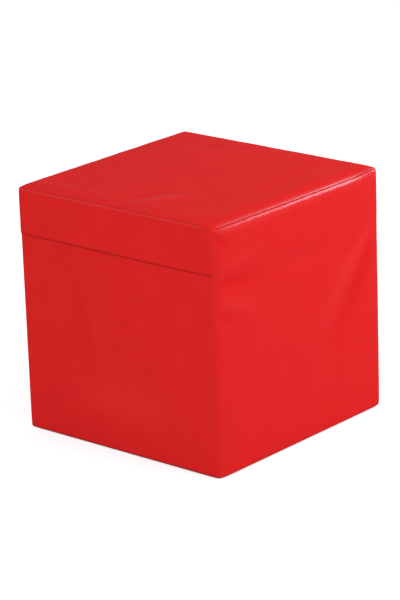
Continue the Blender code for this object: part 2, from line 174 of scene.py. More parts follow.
@dataclass(frozen=True)
class Fold:
    """A soft fold in the cloth: a crest along a bent line over a face, easier on one of its flanks.

    The line and the widths are in millimetres. The height is negative for a hollow.
    """

    start: Pair
    middle: Pair
    end: Pair
    height: float
    widths: Pair
    lean: float = 1.0
    peak: float = 0.25
    steps: int = 24
    flank_blend: float = 1e-5

    def relief(self, across: Array, up: Array) -> Array:
        """How far the fold lifts the cloth.

        Args:
            across: First coordinates over the face.
            up: Second coordinates over the face.

        Returns:
            The lift of each point, in metres.
        """
        line = self.line()
        nearest = np.full(across.shape, np.inf)
        along = np.zeros(across.shape)
        hand = np.ones(across.shape)
        for step in range(self.steps):
            (x, y), (run, rise) = line[step], line[step + 1] - line[step]
            square = run * run + rise * rise
            share = np.clip(((across - x) * run + (up - y) * rise) / square, 0, 1)
            away = np.hypot(across - x - share * run, up - y - share * rise)
            closer = away < nearest
            nearest = np.where(closer, away, nearest)
            along = np.where(closer, (step + share) / self.steps, along)
            hand = np.where(closer, (across - x) * rise - (up - y) * run, hand)
        width = (self.widths[0] + (self.widths[1] - self.widths[0]) * along) * MM
        width = width * self.lean ** np.tanh(hand / self.flank_blend)
        strength = smoothstep(0, self.peak, along) * (1 - smoothstep(self.peak, 1, along))
        return self.height * MM * strength * bell(nearest, width)

    def line(self) -> Array:
        """Points along the crest.

        Returns:
            The points in metres, one a row.
        """
        share = np.linspace(0, 1, self.steps + 1)[:, None]
        start, middle, end = (np.array(place) * MM for place in (self.start, self.middle, self.end))
        return start * (1 - share) ** 2 + 2 * middle * share * (1 - share) + end * share**2


class Ripple:
    """An uneven wave along a seam, made of a few sines whose phases are drawn from a seed."""

    def __init__(self, seed: int, shortest: float, longest: float, waves: int = 7) -> None:
        """Draws the waves.

        Args:
            seed: Seed of the draw.
            shortest: Shortest wavelength, in metres.
            longest: Longest wavelength, in metres.
            waves: How many sines there are.
        """
        draw = np.random.default_rng(seed)
        self.lengths = shortest * (longest / shortest) ** draw.random(waves)
        self.phases = draw.random(waves) * math.tau
        self.sizes = 0.5 + draw.random(waves)

    def __call__(self, place: Array) -> Array:
        """The wave's height at each place, within about -1 to 1."""
        waves = np.sin(place[..., None] * math.tau / self.lengths + self.phases) * self.sizes
        return waves.sum(-1) / self.sizes.sum() * 2


CORNER_DRAW = 2.6 * MM
CORNER_REACH = 15 * MM
GROOVE_WIDTH = 1.5 * MM
LIP_FROM_CORNER = 12 * MM
FOLD_FROM_SEAM = 14 * MM
FULLY_RAISED = 2 * MM
SHARPNESS_OF_CORNERS = 6
WEAR_FROM = 0.6
WEAR_TO = 1.4
SEEDS_A_FACE = 10
SHORT_WAVES = (18 * MM, 45 * MM)
BROAD_WAVES = (50 * MM, 200 * MM)
SHORT_HEIGHT = 0.4
BROAD_HEIGHT = 0.8
SHORT_IN_LIP = 0.3
BROAD_IN_PUCKER = 0.5
WAVE_OFFSET = Vector((3.7, 1.3, 0.0))


@dataclass(frozen=True)
class Seam:
    """How the cloth lies beside a seam: drawn in, with a fuller lip, small puckers, rubbing and
    painted shade.
    """

    draw: float = 1.0 * MM
    reach: float = 5 * MM
    lip: float = 0.3 * MM
    lip_at: float = 6 * MM
    lip_width: float = 3 * MM
    pucker: float = 0.15 * MM
    pucker_reach: float = 7 * MM
    rub: float = 0.1
    rub_width: float = 3.5 * MM
    # Shade painted in and beside the seam's groove, and how far it reaches.
    grime: float = 0.4
    painted_shade_width: float = 1.1 * MM
    groove: float = 0.9 * MM
    unevenness: float = 0.45
    clean_ends: Pair = (0.0, 0.0)

    def wear(self, strength: float, width: float, away: Array, ends: Sequence[Array]) -> Array:
        """A strip beside the seam, for rubbing and for painted shade alike, which stops short of
        its clean ends.

        Args:
            strength: Its share at the seam, from 0 to 1.
            width: How far from the seam it reaches.
            away: Distances from the seam.
            ends: Distances from its two ends.

        Returns:
            The share at each point, from 0 to 1.
        """
        share = np.ones(ends[0].shape)
        for end, clean in zip(ends, self.clean_ends):
            if clean > 0:
                share = share * smoothstep(WEAR_FROM * clean, WEAR_TO * clean, end)
        return strength * share * bell(away, width)

    def pull(self, away: Array, corner: Array) -> Array:
        """How far the shoulder is drawn in, the same from both faces that meet at the seam."""
        deep = self.draw + (CORNER_DRAW - self.draw) * bell(corner, CORNER_REACH)
        return deep * fading(away, self.reach)

    def fullness(self, along: Array, away: Array, seed: int) -> Array:
        """Lift of the lip and the puckers beside the seam.

        Args:
            along: Places along the seam.
            away: Distances from the seam.
            seed: Seed of this seam's puckers.

        Returns:
            The lift of each point, in metres.
        """
        short = Ripple(seed, *SHORT_WAVES)(along) * SHORT_HEIGHT
        broad = Ripple(seed + 1, *BROAD_WAVES)(along) * BROAD_HEIGHT
        swell = 1 + self.unevenness * (SHORT_IN_LIP * short + broad)
        lip = self.lip * swell * bell(away - self.lip_at, self.lip_width)
        share = away / self.pucker_reach
        return lip + self.pucker * (short + BROAD_IN_PUCKER * broad) * share * np.exp(1 - share)


@dataclass(frozen=True)
class FaceRelief:
    """What keeps a face of the cover from being flat and clean: seams, folds, painted flank shade
    and waves.

    A shaded flank is given as a fold whose height, in millimetres, is its share of painted shade
    and sheen.
    """

    low_across: Seam
    high_across: Seam
    low_up: Seam
    high_up: Seam
    folds: tuple[Fold, ...] = ()
    shaded_flanks: tuple[Fold, ...] = ()
    waviness: float = 0.15 * MM
    wave_length: float = 55 * MM
    seed: int = 1

    def each_seam(self, gaps: Sequence[Array]) -> list[tuple[Seam, Array, Sequence[Array]]]:
        """Each seam with the distances from it and from its two ends."""
        seams = (self.low_across, self.high_across, self.low_up, self.high_up)
        return list(zip(seams, gaps, (gaps[2:], gaps[2:], gaps[:2], gaps[:2])))

    def lift(self, across: Array, up: Array, gaps: Sequence[Array]) -> Array:
        """Lift of the cloth over the face.

        Args:
            across: First coordinates over the face.
            up: Second coordinates over the face.
            gaps: Distances from the two seams across and the two seams up, in order.

        Returns:
            The lift of each point, in metres.
        """
        lift = (self.folded(across, up) + self.waviness * self.waves(across, up)) * self.clear(gaps)
        pull = np.zeros(across.shape)
        for number, (seam, away, ends) in enumerate(self.each_seam(gaps)):
            corner = np.minimum(*ends)
            along = up if number < 2 else across
            pull += seam.pull(away, corner) ** SHARPNESS_OF_CORNERS
            full = seam.fullness(along, away, self.seed * SEEDS_A_FACE + number)
            lift += full * smoothstep(0, LIP_FROM_CORNER, corner)
            lift -= seam.groove * bell(away, GROOVE_WIDTH)
        return lift - pull ** (1 / SHARPNESS_OF_CORNERS)

    def clear(self, gaps: Sequence[Array]) -> Array:
        """A share that falls to 0 at the seams."""
        return smoothstep(0, FOLD_FROM_SEAM, np.minimum.reduce(list(gaps)))

    def folded(self, across: Array, up: Array) -> Array:
        """Lift of the folds alone, in metres."""
        return sum((fold.relief(across, up) for fold in self.folds), np.zeros(across.shape))

    def scuffed(self, across: Array, up: Array) -> Array:
        """Share of painted shade and sheen on the flanks of folds, from 0 to 1."""
        return sum((scuff.relief(across, up) / MM for scuff in self.shaded_flanks), np.zeros(across.shape))

    def grimy(self, gaps: Sequence[Array]) -> Array:
        """How much shade is painted in and beside the seams.

        Args:
            gaps: Distances from the two seams across and the two seams up, in order.

        Returns:
            The share at each point, from 0 to 1.
        """
        seams = self.each_seam(gaps)
        # Painted shade beside each seam, added up.
        worn = sum(seam.wear(seam.grime, seam.painted_shade_width, *place) for seam, *place in seams)
        return np.clip(worn, 0, 1)

    def rubbed(self, gaps: Sequence[Array]) -> Array:
        """How far the coating is rubbed smooth beside the seams.

        Args:
            gaps: Distances from the two seams across and the two seams up, in order.

        Returns:
            The share at each point, from 0 to 1.
        """
        seams = self.each_seam(gaps)
        worn = sum(seam.wear(seam.rub, seam.rub_width, *place) for seam, *place in seams)
        return np.clip(worn, 0, 1)

    def waves(self, across: Array, up: Array) -> Array:
        """Slight unevenness of the foam behind the cloth.

        Args:
            across: First coordinates over the face.
            up: Second coordinates over the face.

        Returns:
            The height at each point, within about -1 to 1.
        """
        offset = self.seed * WAVE_OFFSET
        places = np.stack([across, up, np.zeros_like(up)], -1).reshape(-1, 3) / self.wave_length
        heights = [noise.noise(Vector(place) + offset) for place in places]
        return np.array(heights).reshape(across.shape) * 2


def crest(*shape: Union[Pair, float], lean: float = 1.0) -> Fold:
    """A fold that fades to both of its ends alike, from its line, height and widths."""
    return Fold(*shape, lean=lean, peak=0.5)


# Each seam's painted shade darkens its groove, where shade falls.
SIDE_SEAM = Seam(
    draw=1.4 * MM, lip=0.15 * MM, pucker=0.12 * MM, rub=0.02, grime=0.2, groove=0.35 * MM
)
# Wide painted shade along the bottom seam, for the shade near the floor.
BOTTOM_SEAM = Seam(pucker=0.25 * MM, rub=0.05, grime=0.75, painted_shade_width=5.5 * MM)
FRONT_BOTTOM = Seam(pucker=0.25 * MM, rub=0.15)
BASE_SEAM = Seam(lip=0.0, pucker=0.0, rub=0.0)
TOP_SEAM = Seam(lip=0.35 * MM, pucker=0.3 * MM, rub=0.3, rub_width=2 * MM, grime=0.7)
GATHERED_SEAM = replace(TOP_SEAM, pucker=1.4 * MM, pucker_reach=16 * MM, clean_ends=(0.0, 26 * MM))
BAND_SEAM = Seam(
    lip=0.5 * MM, lip_at=2.8 * MM, lip_width=1.5 * MM, pucker=0.2 * MM, rub=1.0, rub_width=4 * MM,
    grime=0.3, clean_ends=(0.0, 26 * MM),
)
# The lips' strong painted shade darkens the groove between their glossy rolls.
FRONT_LIP = Seam(
    lip=0.9 * MM, lip_at=9.5 * MM, lip_width=4.2 * MM, pucker=0.1 * MM, pucker_reach=14 * MM,
    rub=0.65, rub_width=12 * MM, grime=1.0, painted_shade_width=2.2 * MM, unevenness=0.35,
    clean_ends=(22 * MM, 0.0),
)
TOP_LIP = Seam(
    lip=0.7 * MM, lip_at=3.8 * MM, lip_width=2.2 * MM, pucker=0.08 * MM, rub=1.0,
    rub_width=5 * MM, grime=1.0, painted_shade_width=1.3 * MM, unevenness=0.15,
    clean_ends=(22 * MM, 0.0),
)
SIDES = {"low_across": SIDE_SEAM, "high_across": SIDE_SEAM, "low_up": BOTTOM_SEAM}

RELIEFS = {
    Face.FRONT: FaceRelief(
        folds=(
            Fold((300, 480), (141, 406), (-20, 112), 3.2, (12, 40), lean=0.76, peak=0.3),
            Fold((299, 458), (215, 345), (60, 120), -3.3, (18, 36), peak=0.35),
            crest((298, 410), (288, 240), (284, 40), 1.7, (14, 18)),
            crest((-130, 457), (40, 462), (215, 468), -1.7, (15, 15)),
            Fold((296, 592), (262, 556), (205, 526), 2.3, (7, 12), lean=1.2, peak=0.15),
            Fold((297, 560), (285, 540), (255, 520), -1.2, (9, 11), peak=0.2),
            Fold((-300, 496), (-190, 512), (60, 530), 1.8, (12, 28), lean=0.9, peak=0.12),
            Fold((-300, 465), (-200, 457), (-20, 452), -2.4, (12, 26), peak=0.2),
            Fold((-300, 432), (-205, 398), (-70, 340), 2.6, (15, 34), lean=1.3, peak=0.2),
            Fold((-300, 396), (-225, 356), (-140, 300), -1.6, (14, 28), peak=0.15),
            Fold((-300, 590), (-262, 562), (-205, 545), -2.1, (18, 24), peak=0.2),
            Fold((-275, 548), (-200, 556), (-70, 568), 1.2, (8, 16), peak=0.3),
            crest((-290, 225), (-235, 150), (-160, 90), 1.0, (12, 18), lean=1.2),
            crest((-60, 150), (60, 115), (200, 135), 0.9, (34, 34)),
            crest((-185, 250), (-120, 200), (-60, 110), -0.7, (16, 26)),
        ),
        # Painted shade and sheen along two folds.
        shaded_flanks=(
            crest((-120, 458), (30, 462), (150, 466), 0.08, (9, 9)),
            crest((294, 592), (250, 560), (205, 530), 0.10, (8, 9)),
        ),
        **{**SIDES, "low_up": FRONT_BOTTOM, "high_up": FRONT_LIP},
        seed=3,
    ),
    Face.LEFT: FaceRelief(
        folds=(
            crest((-136, 480), (-124, 340), (-40, 90), -1.6, (18, 30)),
            crest((-92, 480), (-80, 340), (0, 90), 1.2, (18, 30), lean=1.3),
            crest((14, 478), (24, 340), (52, 190), -1.1, (14, 26)),
            crest((50, 478), (60, 340), (88, 190), 0.9, (16, 26)),
            crest((190, 470), (196, 330), (182, 200), 0.6, (14, 22)),
            crest((-290, 132), (0, 120), (290, 132), 2.3, (60, 60)),
            crest((-90, 95), (-50, 60), (-25, 20), -0.8, (12, 18)),
            crest((150, 100), (200, 60), (235, 20), -0.8, (12, 18)),
        ),
        **SIDES,
        high_up=BAND_SEAM,
        seed=5,
    ),
    Face.TOP: FaceRelief(
        folds=(
            crest((-26, -296), (16, -200), (60, -100), -1.7, (13, 16)),
            crest((20, -296), (63, -200), (108, -98), 3.1, (17, 21), lean=1.15),
            crest((-104, -288), (-122, -225), (-132, -160), 1.5, (11, 14)),
            crest((-134, -290), (-146, -230), (-152, -170), -1.4, (10, 12)),
            crest((152, -298), (170, -256), (188, -216), 1.4, (9, 12)),
            crest((134, -298), (146, -260), (156, -226), -1.3, (8, 10)),
            crest((98, -296), (90, -258), (84, -222), 1.2, (9, 12)),
            crest((-44, -296), (-50, -262), (-52, -228), 1.3, (9, 12)),
            crest((-205, -294), (-190, -255), (-168, -225), 1.2, (9, 12)),
            crest((-250, -292), (-240, -262), (-224, -240), 0.7, (8, 11)),
            crest((240, -294), (226, -262), (220, -232), 0.7, (8, 11)),
            crest((-135, 145), (-82, 196), (-40, 262), 1.5, (12, 16), lean=1.2),
            crest((-120, 172), (-68, 228), (-48, 280), -1.4, (10, 12)),
            crest((-30, 288), (-18, 245), (15, 210), 0.9, (8, 11)),
        ),
        # Painted shade and sheen on the far flanks of folds.
        shaded_flanks=(
            crest((-10, -296), (30, -200), (84, -80), 0.24, (12, 15)),
            crest((-122, -292), (-132, -240), (-140, -180), 0.08, (10, 13)),
            crest((74, -298), (78, -268), (80, -236), 0.07, (9, 10)),
            crest((-138, 168), (-95, 208), (-62, 240), 0.06, (10, 11)),
        ),
        low_across=TOP_SEAM,
        high_across=TOP_LIP,
        low_up=GATHERED_SEAM,
        high_up=TOP_SEAM,
        waviness=0.3 * MM,
        seed=7,
    ),
    Face.RIGHT: FaceRelief(
        folds=(
            Fold((296, 470), (215, 400), (110, 330), 1.8, (9, 26), lean=1.2),
            crest((-150, 470), (-162, 330), (-120, 150), 1.1, (16, 28), lean=1.2),
            crest((60, 470), (48, 380), (72, 240), 0.8, (14, 22)),
            crest((-290, 120), (0, 132), (290, 118), 1.3, (60, 60)),
        ),
        **SIDES,
        high_up=BAND_SEAM,
        seed=11,
    ),
    Face.REAR: FaceRelief(
        folds=(
            crest((-180, 476), (-150, 330), (-170, 170), 1.1, (16, 28), lean=1.2),
            crest((20, 476), (44, 350), (30, 210), 0.9, (16, 26)),
            crest((205, 470), (180, 360), (196, 250), 0.8, (12, 20)),
            crest((-290, 122), (0, 134), (290, 120), 1.3, (60, 60)),
        ),
        **SIDES,
        high_up=BAND_SEAM,
        seed=13,
    ),
    Face.BASE: FaceRelief(BASE_SEAM, BASE_SEAM, BASE_SEAM, BASE_SEAM, waviness=0.0),
}


@dataclass(frozen=True)
class SoftEdges:
    """The soft, worn edges round the +X face, where the foam gives way under the tight skin."""

    near_draw: float = 10.0 * MM
    near_reach: float = 16 * MM
    far_draw: float = 1.5 * MM
    far_reach: float = 8 * MM
    far_fade: float = 90 * MM
    far_share: float = 0.2
    top_draw: float = 7.0 * MM
    top_reach: float = 8 * MM
    lip_rise: float = 1.0 * MM
    lip_at: float = 20 * MM
    lip_width: float = 14 * MM
    front_draw: float = 7.5 * MM
    front_reach: float = 14 * MM
    brow_rise: float = 3.0 * MM
    brow_at: float = 38 * MM
    brow_width: float = 28 * MM
    side_draw: float = 1.8 * MM
    side_reach: float = 18 * MM
    side_brow: float = 1.5 * MM
    side_brow_at: float = 42 * MM
    side_brow_width: float = 24 * MM
    foot_draw: float = 4.0 * MM
    foot_reach: float = 7 * MM
    foot_lift: float = 0.5 * MM
    foot_depth: float = 40 * MM
    toe_draw: float = 4.5 * MM
    toe_reach: float = 9 * MM
    toe_lift: float = 1.35 * MM
    fade: float = 60 * MM
    depth: float = 110 * MM

    def soften(self, points: Array, sizes: BlockSizes) -> Array:
        """Draws the edges in and lifts the cloth beside them.

        Args:
            points: Places on or in the block, one a row.
            sizes: The block's sizes.

        Returns:
            The moved places.
        """
        (x, y, z), half = points.T, sizes.half_width
        gaps = (sizes.half_length - x, sizes.height - z, z, y + half, half - y)
        behind, under, above, near, far = (np.maximum(gap, 0) for gap in gaps)
        front = fading(behind, self.front_reach)
        inner = smoothstep(0, self.fade, np.minimum(near, far))
        ease = self.far_share + (1 - self.far_share) * smoothstep(0, self.far_fade, far)
        back = self.near_draw * fading(near, self.near_reach)
        back += self.far_draw * fading(far, self.far_reach)
        back = np.hypot(back, ease * self.top_draw * fading(under, self.top_reach))
        back = np.hypot(back, self.foot_draw * fading(above, self.foot_reach))
        back -= self.lip_rise * inner * bell(under - self.lip_at, self.lip_width)
        side = self.side_draw * fading(near, self.side_reach)
        down = np.hypot(ease * self.front_draw * front, side)
        down -= self.brow_rise * inner * bell(behind - self.brow_at, self.brow_width)
        length = smoothstep(0, self.fade, np.minimum(behind, x + sizes.half_length))
        down -= self.side_brow * length * bell(near - self.side_brow_at, self.side_brow_width)
        toe = front * fading(far + above, self.toe_reach)
        moved = points.copy()
        moved[:, 0] -= back * (1 - smoothstep(0, self.depth, behind))
        moved[:, 1] -= self.toe_draw * toe
        moved[:, 2] -= down * (1 - smoothstep(0, self.depth, under))
        moved[:, 2] += self.foot_lift * front * (1 - smoothstep(0, self.foot_depth, above))
        moved[:, 2] += self.toe_lift * toe
        return moved


@dataclass(frozen=True)
class CoverForm:
    """The tight form of the cover: rolled edges, soft shoulders, drawn-in seams, crowned faces."""

    sizes: BlockSizes
    inset: float
    crowns: tuple[tuple[Face, float], ...]
    crown_to: float
    soft: SoftEdges = SoftEdges()
    foam_slack: float = 2.6 * MM
    slack_from: float = 4 * MM
    slack_to: float = 12 * MM

    def corners(self, points: Array) -> tuple[Array, Array]:
        """Lowest and highest corners of the sharp box about each point.

        Args:
            points: Points near the box's surface, one a row.

        Returns:
            The lowest and the highest corners, one a row.
        """
        corner = [self.sizes.half_length, self.sizes.half_width - self.inset, self.sizes.height]
        high = np.tile(corner, (len(points), 1))
        low = -high
        low[:, 0] += self.inset
        low[:, 2] = 0.0
        return low, high

    def squeezed(self, points: Array, normals: Array, slack: Array) -> Array:
        """Places of the foam under the cover, drawn in as the cover is.

        Args:
            points: Places on the foam's surface, one a row.
            normals: Its normals there.
            slack: How far it lies below its solid.

        Returns:
            The moved places.
        """
        sizes = self.sizes
        limits = np.array([sizes.half_length, sizes.half_width, sizes.height / 2])
        gaps = np.maximum(np.sort(limits - np.abs(points - [0, 0, limits[2]]), axis=1), 0)
        edge = 1 - smoothstep(self.slack_from, self.slack_to, gaps[:, 0])
        shoulder = fading(gaps[:, 1], BOTTOM_SEAM.reach) * BOTTOM_SEAM.draw
        corner = bell(np.hypot(gaps[:, 1], gaps[:, 2]), CORNER_REACH) * CORNER_DRAW
        depth = slack + self.foam_slack * edge + shoulder + corner
        return self.soft.soften(points - normals * depth[:, None], sizes)

    def fitted(self, points: Array) -> Array:
        """Points of a flat layout, moved to where they lie on the sharp box."""
        return points

    def laid(self, face: Face, across: Array, up: Array) -> tuple[Array, Array, Array, list[Array]]:
        """A flat layout over a face of the sharp box.

        Args:
            face: The face.
            across: First coordinates over it.
            up: Second coordinates over it.

        Returns:
            The points, the lowest and highest corners about each, and the gaps to the four seams.
        """
        points = np.zeros((across.size, 3))
        points[:, face.across] = across.ravel()
        points[:, face.up] = up.ravel()
        points = self.fitted(points)
        low, high = self.corners(points)
        ways = points - low, high - points
        gaps = [np.maximum(way[:, axis], 0.0) for axis in (face.across, face.up) for way in ways]
        return points, low, high, gaps

    def bulge(self, face: Face, points: Array, low: Array, high: Array) -> Array:
        """Crown of one face, which fades to nothing at its edges.

        Args:
            face: The face.
            points: Points over it, one a row.
            low: Lowest corner of the box about each.
            high: Highest corner of the box about each.

        Returns:
            How far each point stands out, in metres.
        """
        rise = np.full(len(points), dict(self.crowns).get(face, 0.0))
        for axis in (face.across, face.up):
            top = self.crown_to if axis == 2 else high[:, axis]
            middle = (low[:, axis] + top) / 2
            share = (points[:, axis] - middle) / (top - middle)
            rise *= np.maximum(0.0, 1 - share * share)
        return rise

    def settle(
        self, face: Face, across: Array, up: Array, depth: Union[Array, float] = 0.0
    ) -> Array:
        """Places on the cover for points over a face of the sharp box.

        Args:
            face: The face.
            across: First coordinates over it.
            up: Second coordinates over it.
            depth: How far under the surface the places lie.

        Returns:
            The places, one a row.
        """
        points, low, high, gaps = self.laid(face, across, up)
        limit = low if face.side < 0 else high
        points[:, face.fixed] = limit[:, face.fixed]
        radius = self.sizes.edge_radius
        inner = np.clip(points, low + radius, high - radius)
        way = points - inner
        way /= np.linalg.norm(way, axis=1)[:, None]
        lift = RELIEFS[face].lift(points[:, face.across], points[:, face.up], gaps)
        places = inner + way * (radius + lift - np.ravel(depth))[:, None]
        places[:, face.fixed] += face.side * self.bulge(face, points, low, high)
        return self.soft.soften(places, self.sizes)

    def notes(self, face: Face, across: Array, up: Array) -> dict[str, Array]:
        """Notes at points over a face: raised folds, painted shade and sheen on flanks, rubbed
        edges and painted seam shade.

        Args:
            face: The face.
            across: First coordinates over the face.
            up: Second coordinates over the face.

        Returns:
            The value of each point, by kind of note.
        """
        points, _, _, gaps = self.laid(face, across, up)
        relief = RELIEFS[face]
        spots = points[:, face.across], points[:, face.up]
        return {
            "raised": relief.folded(*spots) * relief.clear(gaps) / FULLY_RAISED,
            "scuffed": relief.scuffed(*spots),
            "rubbed": relief.rubbed(gaps),
            "grime": relief.grimy(gaps),
        }


@dataclass(frozen=True)
class SkinForm(CoverForm):
    """The form of the unbroken +X skin, which widens at the fold, from the panels to the bands."""

    blend_over: float = 8 * MM

    def fitted(self, points: Array) -> Array:
        """Draws the layout in below the fold, where the skin is narrower."""
        points[:, 1] *= self.corners(points)[1][:, 1] / self.sizes.half_width
        return points

    def corners(self, points: Array) -> tuple[Array, Array]:
        """Corners as on the rest of the cover, with the sides eased out above the fold.

        Args:
            points: Points near the box's surface, one a row.

        Returns:
            The lowest and the highest corners, one a row.
        """
        low, high = super().corners(points)
        fold = self.sizes.fold_z
        share = smoothstep(fold - self.blend_over, fold + self.blend_over, points[:, 2])
        low[:, 1] -= self.sizes.step * share
        high[:, 1] += self.sizes.step * share
        return low, high


SIDE_FACES = {"left": Face.LEFT, "rear": Face.REAR, "right": Face.RIGHT}
EDGE_ROWS = tuple(
    gap * MM for gap in (0, 0.7, 1.4, 2.2, 3.2, 4.4, 5.8, 7.4, 9.2, 11.5, 14.5, 18, 22)
)


def rows(
    low: float, high: float, step: float, low_seam: bool = True, high_seam: bool = True
) -> Array:
    """Coordinates of the rows of a panel, close together beside its seams.

    Args:
        low: Where the rows start.
        high: Where they end.
        step: Widest gap between rows.
        low_seam: Whether the start is a seam.
        high_seam: Whether the end is a seam.

    Returns:
        The rows, in rising order.
    """
    start = [low + gap for gap in EDGE_ROWS] if low_seam else [low]
    end = [high - gap for gap in reversed(EDGE_ROWS)] if high_seam else [high]
    count = max(1, math.ceil((end[0] - start[-1]) / step))
    between = np.linspace(start[-1], end[0], count + 1)[1:-1]
    return np.concatenate([start, between, end])


def read_places(mesh: Mesh) -> Array:
    """The place of each vertex of a mesh, one a row.

    Args:
        mesh: The mesh.

    Returns:
        The places, in metres.
    """
    places = np.empty(len(mesh.vertices) * 3)
    mesh.vertices.foreach_get("co", places)
    return places.reshape(-1, 3)


def note(mesh: Mesh, name: str, values: Array) -> None:
    """Writes a value for each vertex of a mesh, for its finish to read."""
    mesh.attributes.new(name, "FLOAT", "POINT").data.foreach_set("value", values.astype(np.float32))


class Crispness(Enum):
    """The turn, in degrees, from which an edge of a piece shows."""

    CAST = 30
    SHEET = 50
    CUT = 60
    NONE = 180


class Workshop:
    """Makes the meshes of the pieces and hands them to the frame."""

    def __init__(self) -> None:
        """Opens a collection for the pieces and makes the finishes."""
        self.collection = bpy.data.collections.new("spotting_block")
        bpy.context.scene.collection.children.link(self.collection)
        self.finishes = Finishes()

    def piece(self, name: str, mesh: Mesh, *finishes: Material) -> Thing:
        """Adds a piece with its finishes.

        Args:
            name: The piece's name.
            mesh: Its mesh.
            finishes: Its materials, in the order of its slots.

        Returns:
            The piece.
        """
        thing = bpy.data.objects.new(name, mesh)
        self.collection.objects.link(thing)
        for finish in finishes:
            mesh.materials.append(finish)
        return thing

    def copied(self, name: str, node: str, finish: Material) -> Thing:
        """A piece that starts as a copy of a node's mesh, and stands for the node.

        Args:
            name: The piece's name.
            node: The node that it is copied from and stands for.
            finish: Its material.

        Returns:
            The piece.
        """
        mesh = frame["nodes"][node].data.copy()
        mesh.materials.clear()
        thing = self.piece(name, mesh, finish)
        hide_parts(node)
        return thing

    def hand_over(self, thing: Thing, slot: str, body: Optional[str]) -> None:
        """Attaches a piece to the body that it rides on, if any, and reports it.

        Args:
            thing: The piece.
            slot: Name of its material slot; not used.
            body: Name of the body that it rides on, or None for a piece that bends.
        """
        if body:
            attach(thing, body)
        log.info("%s: %d faces", thing.name, len(thing.data.polygons))

    def apply(self, thing: Thing) -> None:
        """Gives a piece the mesh that its modifiers make, and clears them.

        Args:
            thing: The piece.
        """
        bpy.context.view_layer.update()
        graph = bpy.context.evaluated_depsgraph_get()
        seen = thing.evaluated_get(graph)
        mesh = bpy.data.meshes.new_from_object(seen, preserve_all_data_layers=True, depsgraph=graph)
        thing.modifiers.clear()
        thing.data = mesh

    def copies(
        self, name: str, pattern: bmesh.types.BMesh, turns: Sequence[Matrix], finish: Material
    ) -> Thing:
        """A piece made of many copies of one small pattern.

        Args:
            name: The piece's name.
            pattern: The pattern, which is used up.
            turns: Where each copy goes.
            finish: Its material.

        Returns:
            The piece.
        """
        corners = np.array([(*vert.co, 1.0) for vert in pattern.verts])
        faces = [[vert.index for vert in face.verts] for face in pattern.faces]
        pattern.free()
        spots = np.concatenate([corners @ np.array(turn).T[:, :3] for turn in turns])
        shifts = range(0, len(spots), len(corners))
        copied = [[shift + spot for spot in face] for shift in shifts for face in faces]
        mesh = bpy.data.meshes.new(name)
        mesh.from_pydata(spots.tolist(), [], copied)
        return self.piece(name, mesh, finish)

    def smooth(self, mesh: Mesh, crispness: Crispness) -> None:
        """Shades a mesh smooth, but for its crisp edges."""
        mesh.shade_smooth()
        mesh.set_sharp_from_angle(angle=math.radians(crispness.value))

    def sheet(
        self, shape: tuple[int, int], places: Array, cloth: Array, flip: bool,
        notes: dict[str, Array],
    ) -> Mesh:
        """A grid of quads moved to its places, with a flat map of the cloth.

        Args:
            shape: How many rows the grid has, and how many points a row.
            places: The place of each point, row by row.
            cloth: The flat coordinates of each point.
            flip: Whether its faces are turned over.
            notes: Values of each point that the finish reads, by name.

        Returns:
            The open sheet.
        """
        lines, columns = shape
        bm = bmesh.new()
        bmesh.ops.create_grid(bm, x_segments=columns - 1, y_segments=lines - 1, size=1)
        if flip:
            bmesh.ops.reverse_faces(bm, faces=bm.faces)
        mesh = bpy.data.meshes.new("sheet")
        bm.to_mesh(mesh)
        bm.free()
        spots = read_places(mesh)
        column = np.rint((spots[:, 0] + 1) / 2 * (columns - 1)).astype(int)
        line = np.rint((spots[:, 1] + 1) / 2 * (lines - 1)).astype(int)
        order = line * columns + column
        mesh.vertices.foreach_set("co", places[order].ravel())
        corners = np.empty(len(mesh.loops), dtype=int)
        mesh.loops.foreach_get("vertex_index", corners)
        layer = mesh.uv_layers.new(name=CLOTH_MAP)
        layer.uv.foreach_set("vector", cloth[order][corners].astype(np.float32).ravel())
        for name, values in notes.items():
            note(mesh, name, values[order])
        mesh.update()
        return mesh

    def thicken(self, thing: Thing, thickness: float) -> None:
        """Gives a sheet its thickness inwards, its back taking the second finish.

        Args:
            thing: The piece, which is an open sheet.
            thickness: Its thickness, in metres.
        """
        shell = thing.modifiers.new("Fabric", "SOLIDIFY")
        shell.thickness = thickness
        shell.offset = -1
        shell.material_offset = 1
        self.apply(thing)
        self.smooth(thing.data, Crispness.SHEET)


@dataclass(frozen=True)
class Panel:
    """One panel of the cover: where it lies, what it stands for and how it is held."""

    name: str
    face: Face
    form: CoverForm
    across: Array
    up: Array
    nodes: tuple[str, ...]
    body: Optional[str]
    slot: str = "cover_red"
    held: str = "stretched"
    rests_on: str = "foam_core"

    def build(
        self, shop: Workshop, heights: Optional[Array] = None, depth: Union[Array, float] = 0.0,
        dust_and_shadow: Union[Array, float] = 0.0,
    ) -> Thing:
        """Makes the panel with its thickness, wear and painted shade, and hands it to the frame.

        Args:
            shop: The workshop.
            heights: Height of each point, row by row, where the rows aren't straight.
            depth: Depth of each point under the surface, where the panel is turned in.
            dust_and_shadow: Painted shade on each point where it is more than at the seams, by the
                flap's edge.

        Returns:
            The piece.
        """
        shape = len(self.up), len(self.across)
        across, level = np.tile(self.across, (shape[0], 1)), np.tile(self.up[:, None], shape[1])
        heights = level if heights is None else heights
        places = self.form.settle(self.face, across, heights, depth)
        cloth = np.stack([across + list(Face).index(self.face), level], -1).reshape(-1, 2)
        notes = self.form.notes(self.face, across, heights)
        # Painted shade: the greater of that at the seams and that given by the flap's edge.
        notes["grime"] = np.maximum(notes["grime"], np.ravel(dust_and_shadow))
        mesh = shop.sheet(shape, places, cloth, self.face.flipped, notes)
        outer = shop.finishes.grip if self.slot == "base_grip" else shop.finishes.red
        thing = shop.piece(self.name, mesh, outer, shop.finishes.backing)
        shop.thicken(thing, self.form.sizes.fabric)
        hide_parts(*self.nodes)
        shop.hand_over(thing, self.slot, self.body)
        return thing


